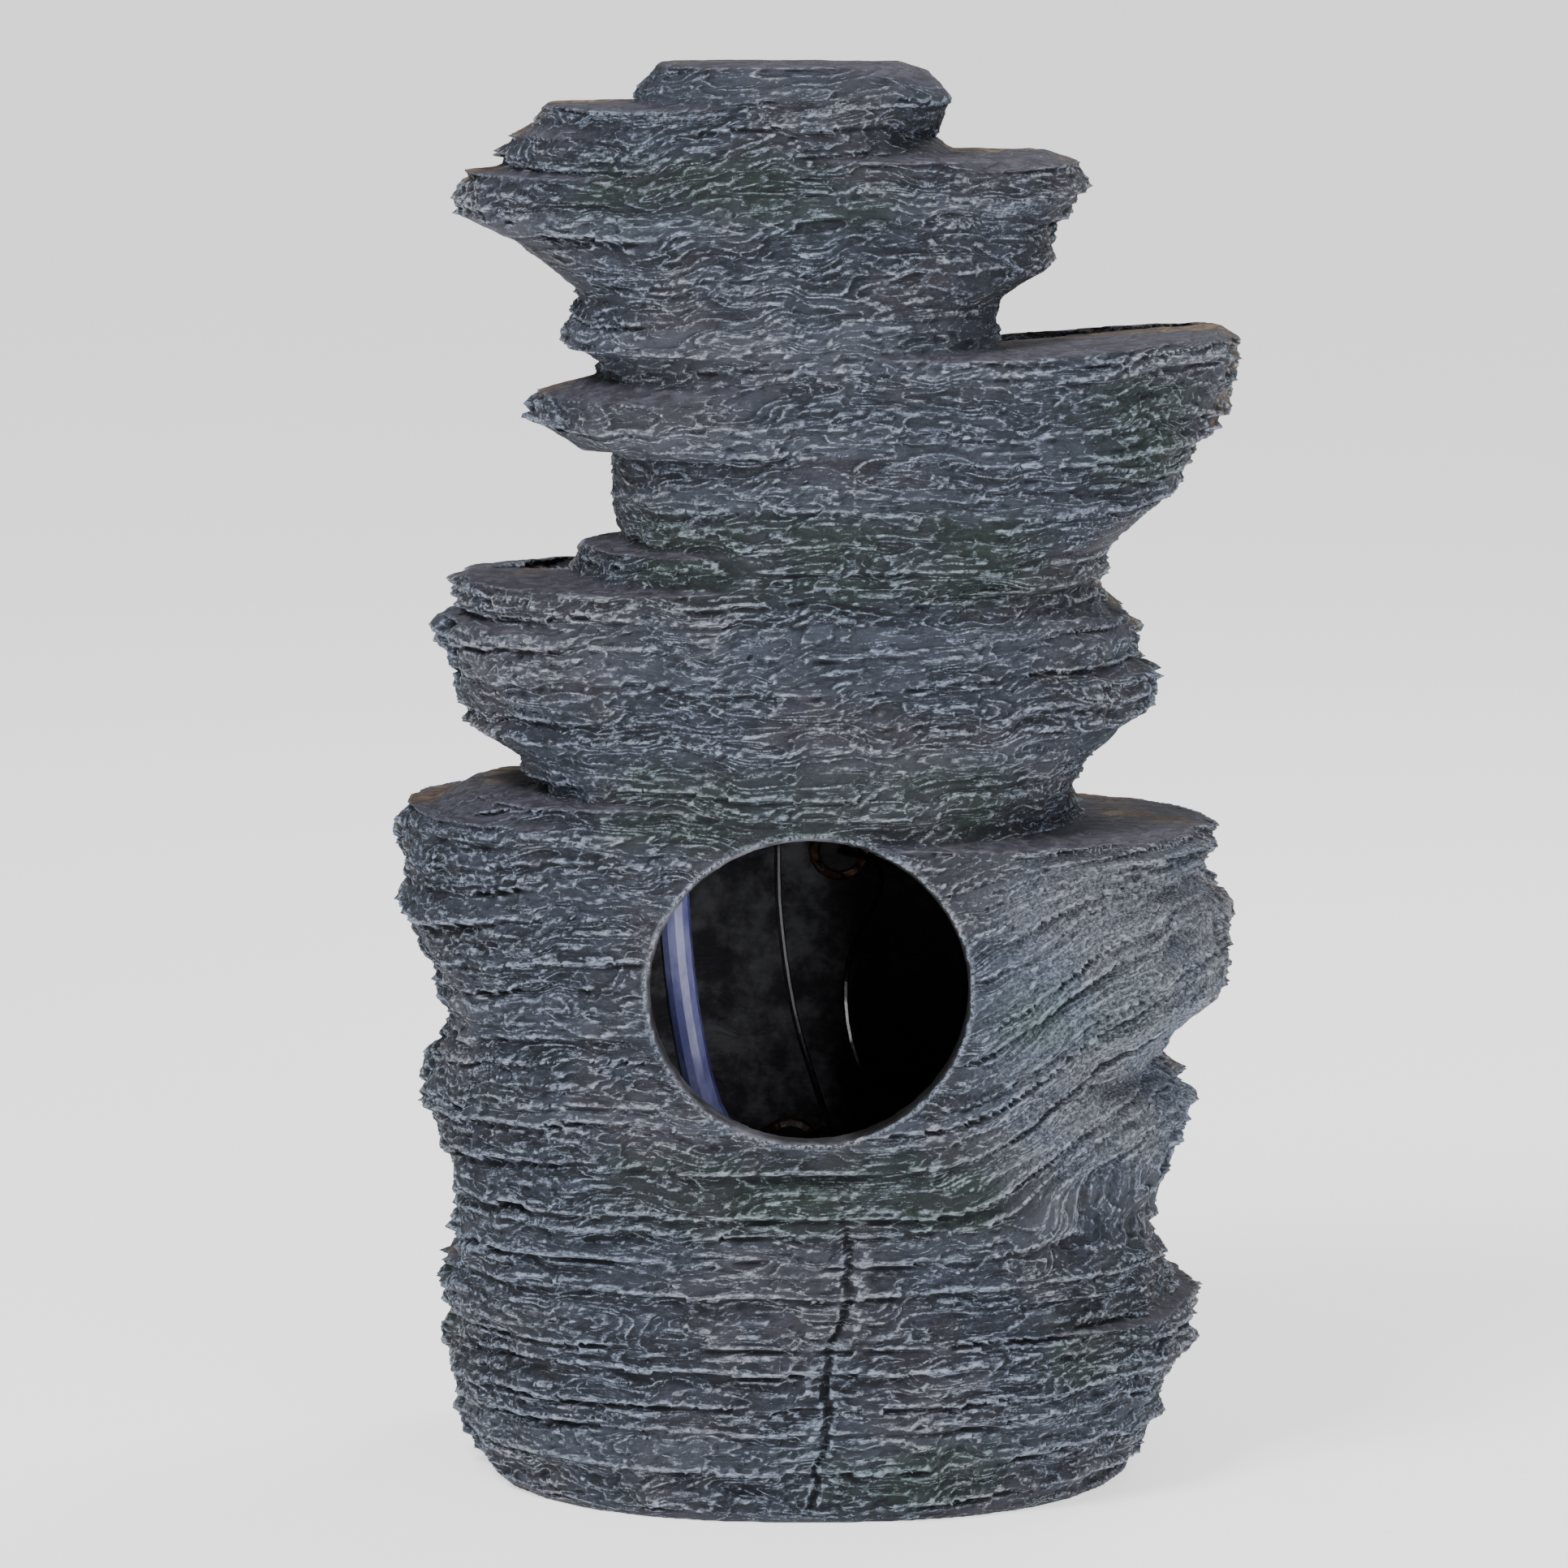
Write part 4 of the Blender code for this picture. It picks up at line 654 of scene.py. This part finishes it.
def dress():
    black = plain("black_abs", (15, 16, 18), (30, 31, 34), (0.34, 0.52), 0.10, grain=1.2)
    pod = plain("pod_housing", (9, 9, 10), (20, 20, 22), (0.72, 0.88), 0.10, grain=1.2)
    lead = plain("lead_jacket", (8, 8, 9), (17, 17, 19), (0.14, 0.26), 0.2, grain=1.4, Coat_Weight=0.5)
    heavy = plain("lead_jacket_heavy", (12, 12, 13), (24, 24, 26), (0.30, 0.46), 0.2, grain=1.4)
    rubber = plain("soft_rubber", (18, 18, 19), (36, 36, 38), (0.62, 0.82), 0.16, grain=1.1)
    seal = plain("seal_rubber", (120, 42, 26), (158, 62, 38), (0.5, 0.7), 0.2, grain=1.4)
    white = plain("white_acetal", (196, 198, 198), (224, 225, 222), (0.3, 0.45), 0.12, grain=1.2)
    grey = plain("grey_abs", (70, 74, 78), (98, 102, 106), (0.4, 0.58), 0.12, grain=1.2)
    steel = plain("bright_steel", (150, 152, 156), (196, 198, 202), (0.16, 0.30), 0.3, 1.0, grain=1.6)
    ceramic = plain("pin_ceramic", (206, 204, 196), (234, 232, 226), (0.16, 0.28), 0.2, grain=1.4)
    ferrite = plain("ferrite", (38, 38, 40), (66, 66, 68), (0.42, 0.62), 0.2, 0.5, grain=1.4)
    chip = plain("emitter_phosphor", (206, 168, 40), (240, 212, 86), (0.32, 0.5), 0.5, grain=1.6)
    potting = plain("potting_resin", (20, 20, 22), (34, 34, 37), (0.12, 0.24), 0.1, grain=0.8, Coat_Weight=0.4)
    hose, amber, lens, foam = hose_material(), amber_material(), lens_material(), sponge_material()
    coil, core = wound_material(), laminated_material()
    chosen = {
        "riser_hose": hose, "spout_fitting": black, "spout_lock_nut": black, "spout_washer": rubber,
        "hose_clip_lower": white, "hose_clip_upper": white, "pump_motor_housing": potting, "motor_back_plate": black,
        "stator_core": core, "stator_coil": coil, "impeller_chamber": black, "chamber_seal": seal, "rotor_pin": ceramic,
        "inner_bush": rubber, "outer_bush": rubber, "rotor_magnet": ferrite, "impeller": white, "intake_strainer": black,
        "filter_sponge": foam, "flow_dial": grey, "pump_lead_gland": heavy, "pump_lead": heavy,
        "lead_junction_box": black, "socket_lead": lead, "power_socket": black, "socket_pin": steel,
    }
    for i in (1, 2, 3, 4):
        chosen[f"suction_cup_{i}"] = rubber
    for i in (1, 2, 3):
        chosen[f"led_pod_{i}"] = pod
        chosen[f"led_lens_{i}"] = lens
        chosen[f"led_chip_{i}"] = chip
        chosen[f"led_sealant_{i}"] = amber
        chosen[f"led_lead_{i}"] = lead
    for name, ob in NODES.items():
        if name in LENGTHS:
            continue
        ob.data.materials.clear()
        ob.data.materials.append(chosen[name])


# ---- build -----------------------------------------------------------------------------------
rock = rock_skin()
rock.data.materials.clear()
rock.data.materials.append(rock_material())
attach(rock, "fountain")
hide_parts(*LENGTHS)
dress()

# ---- floor and light ------------------------------------------------------------------
bm = bmesh.new()
profile = [(9.0, 0.0), (-9.0, 0.0)]
rows = [[bm.verts.new((sx, py, pz)) for sx in (-9.0, 9.0)] for py, pz in profile]
for a, b in zip(rows, rows[1:]):
    bm.faces.new((a[0], a[1], b[1], b[0]))
sweep_mesh = bpy.data.meshes.new("studio_sweep")
bm.to_mesh(sweep_mesh)
bm.free()
sweep_mesh.shade_smooth()
sweep = bpy.data.objects.new("studio_sweep", sweep_mesh)
bpy.context.scene.collection.objects.link(sweep)
paper = Shade("studio_paper")
sweep_mesh.materials.append(paper.set(Base_Color=(0.93, 0.93, 0.93, 1.0), Roughness=0.9, Specular_IOR_Level=0.1, Emission_Color=(1.0, 1.0, 1.0, 1.0), Emission_Strength=1.1))


def area(name, at, aim, size, power, size_y=None):
    data = bpy.data.lights.new(name, "AREA")
    data.energy = power
    data.size = size
    if size_y:
        data.shape = "RECTANGLE"
        data.size_y = size_y
    ob = bpy.data.objects.new(name, data)
    ob.location = at
    ob.rotation_euler = (Vector(aim) - Vector(at)).to_track_quat("-Z", "Y").to_euler()
    bpy.context.scene.collection.objects.link(ob)


area("key", (0.95, 1.35, 2.15), (0, 0, 0.22), 0.8, 54.0, 0.8)
area("fill", (-0.95, 2.1, 0.75), (0, 0, 0.2), 0.9, 19.0, 0.9)
area("front", (-0.8, -1.0, 1.5), (0, 0, 0.25), 0.9, 14.0, 0.9)
world = bpy.data.worlds.new("studio")
world.use_nodes = True
world.node_tree.nodes["Background"].inputs["Color"].default_value = (1.0, 1.0, 1.0, 1.0)
world.node_tree.nodes["Background"].inputs["Strength"].default_value = 0.38
bpy.context.scene.world = world
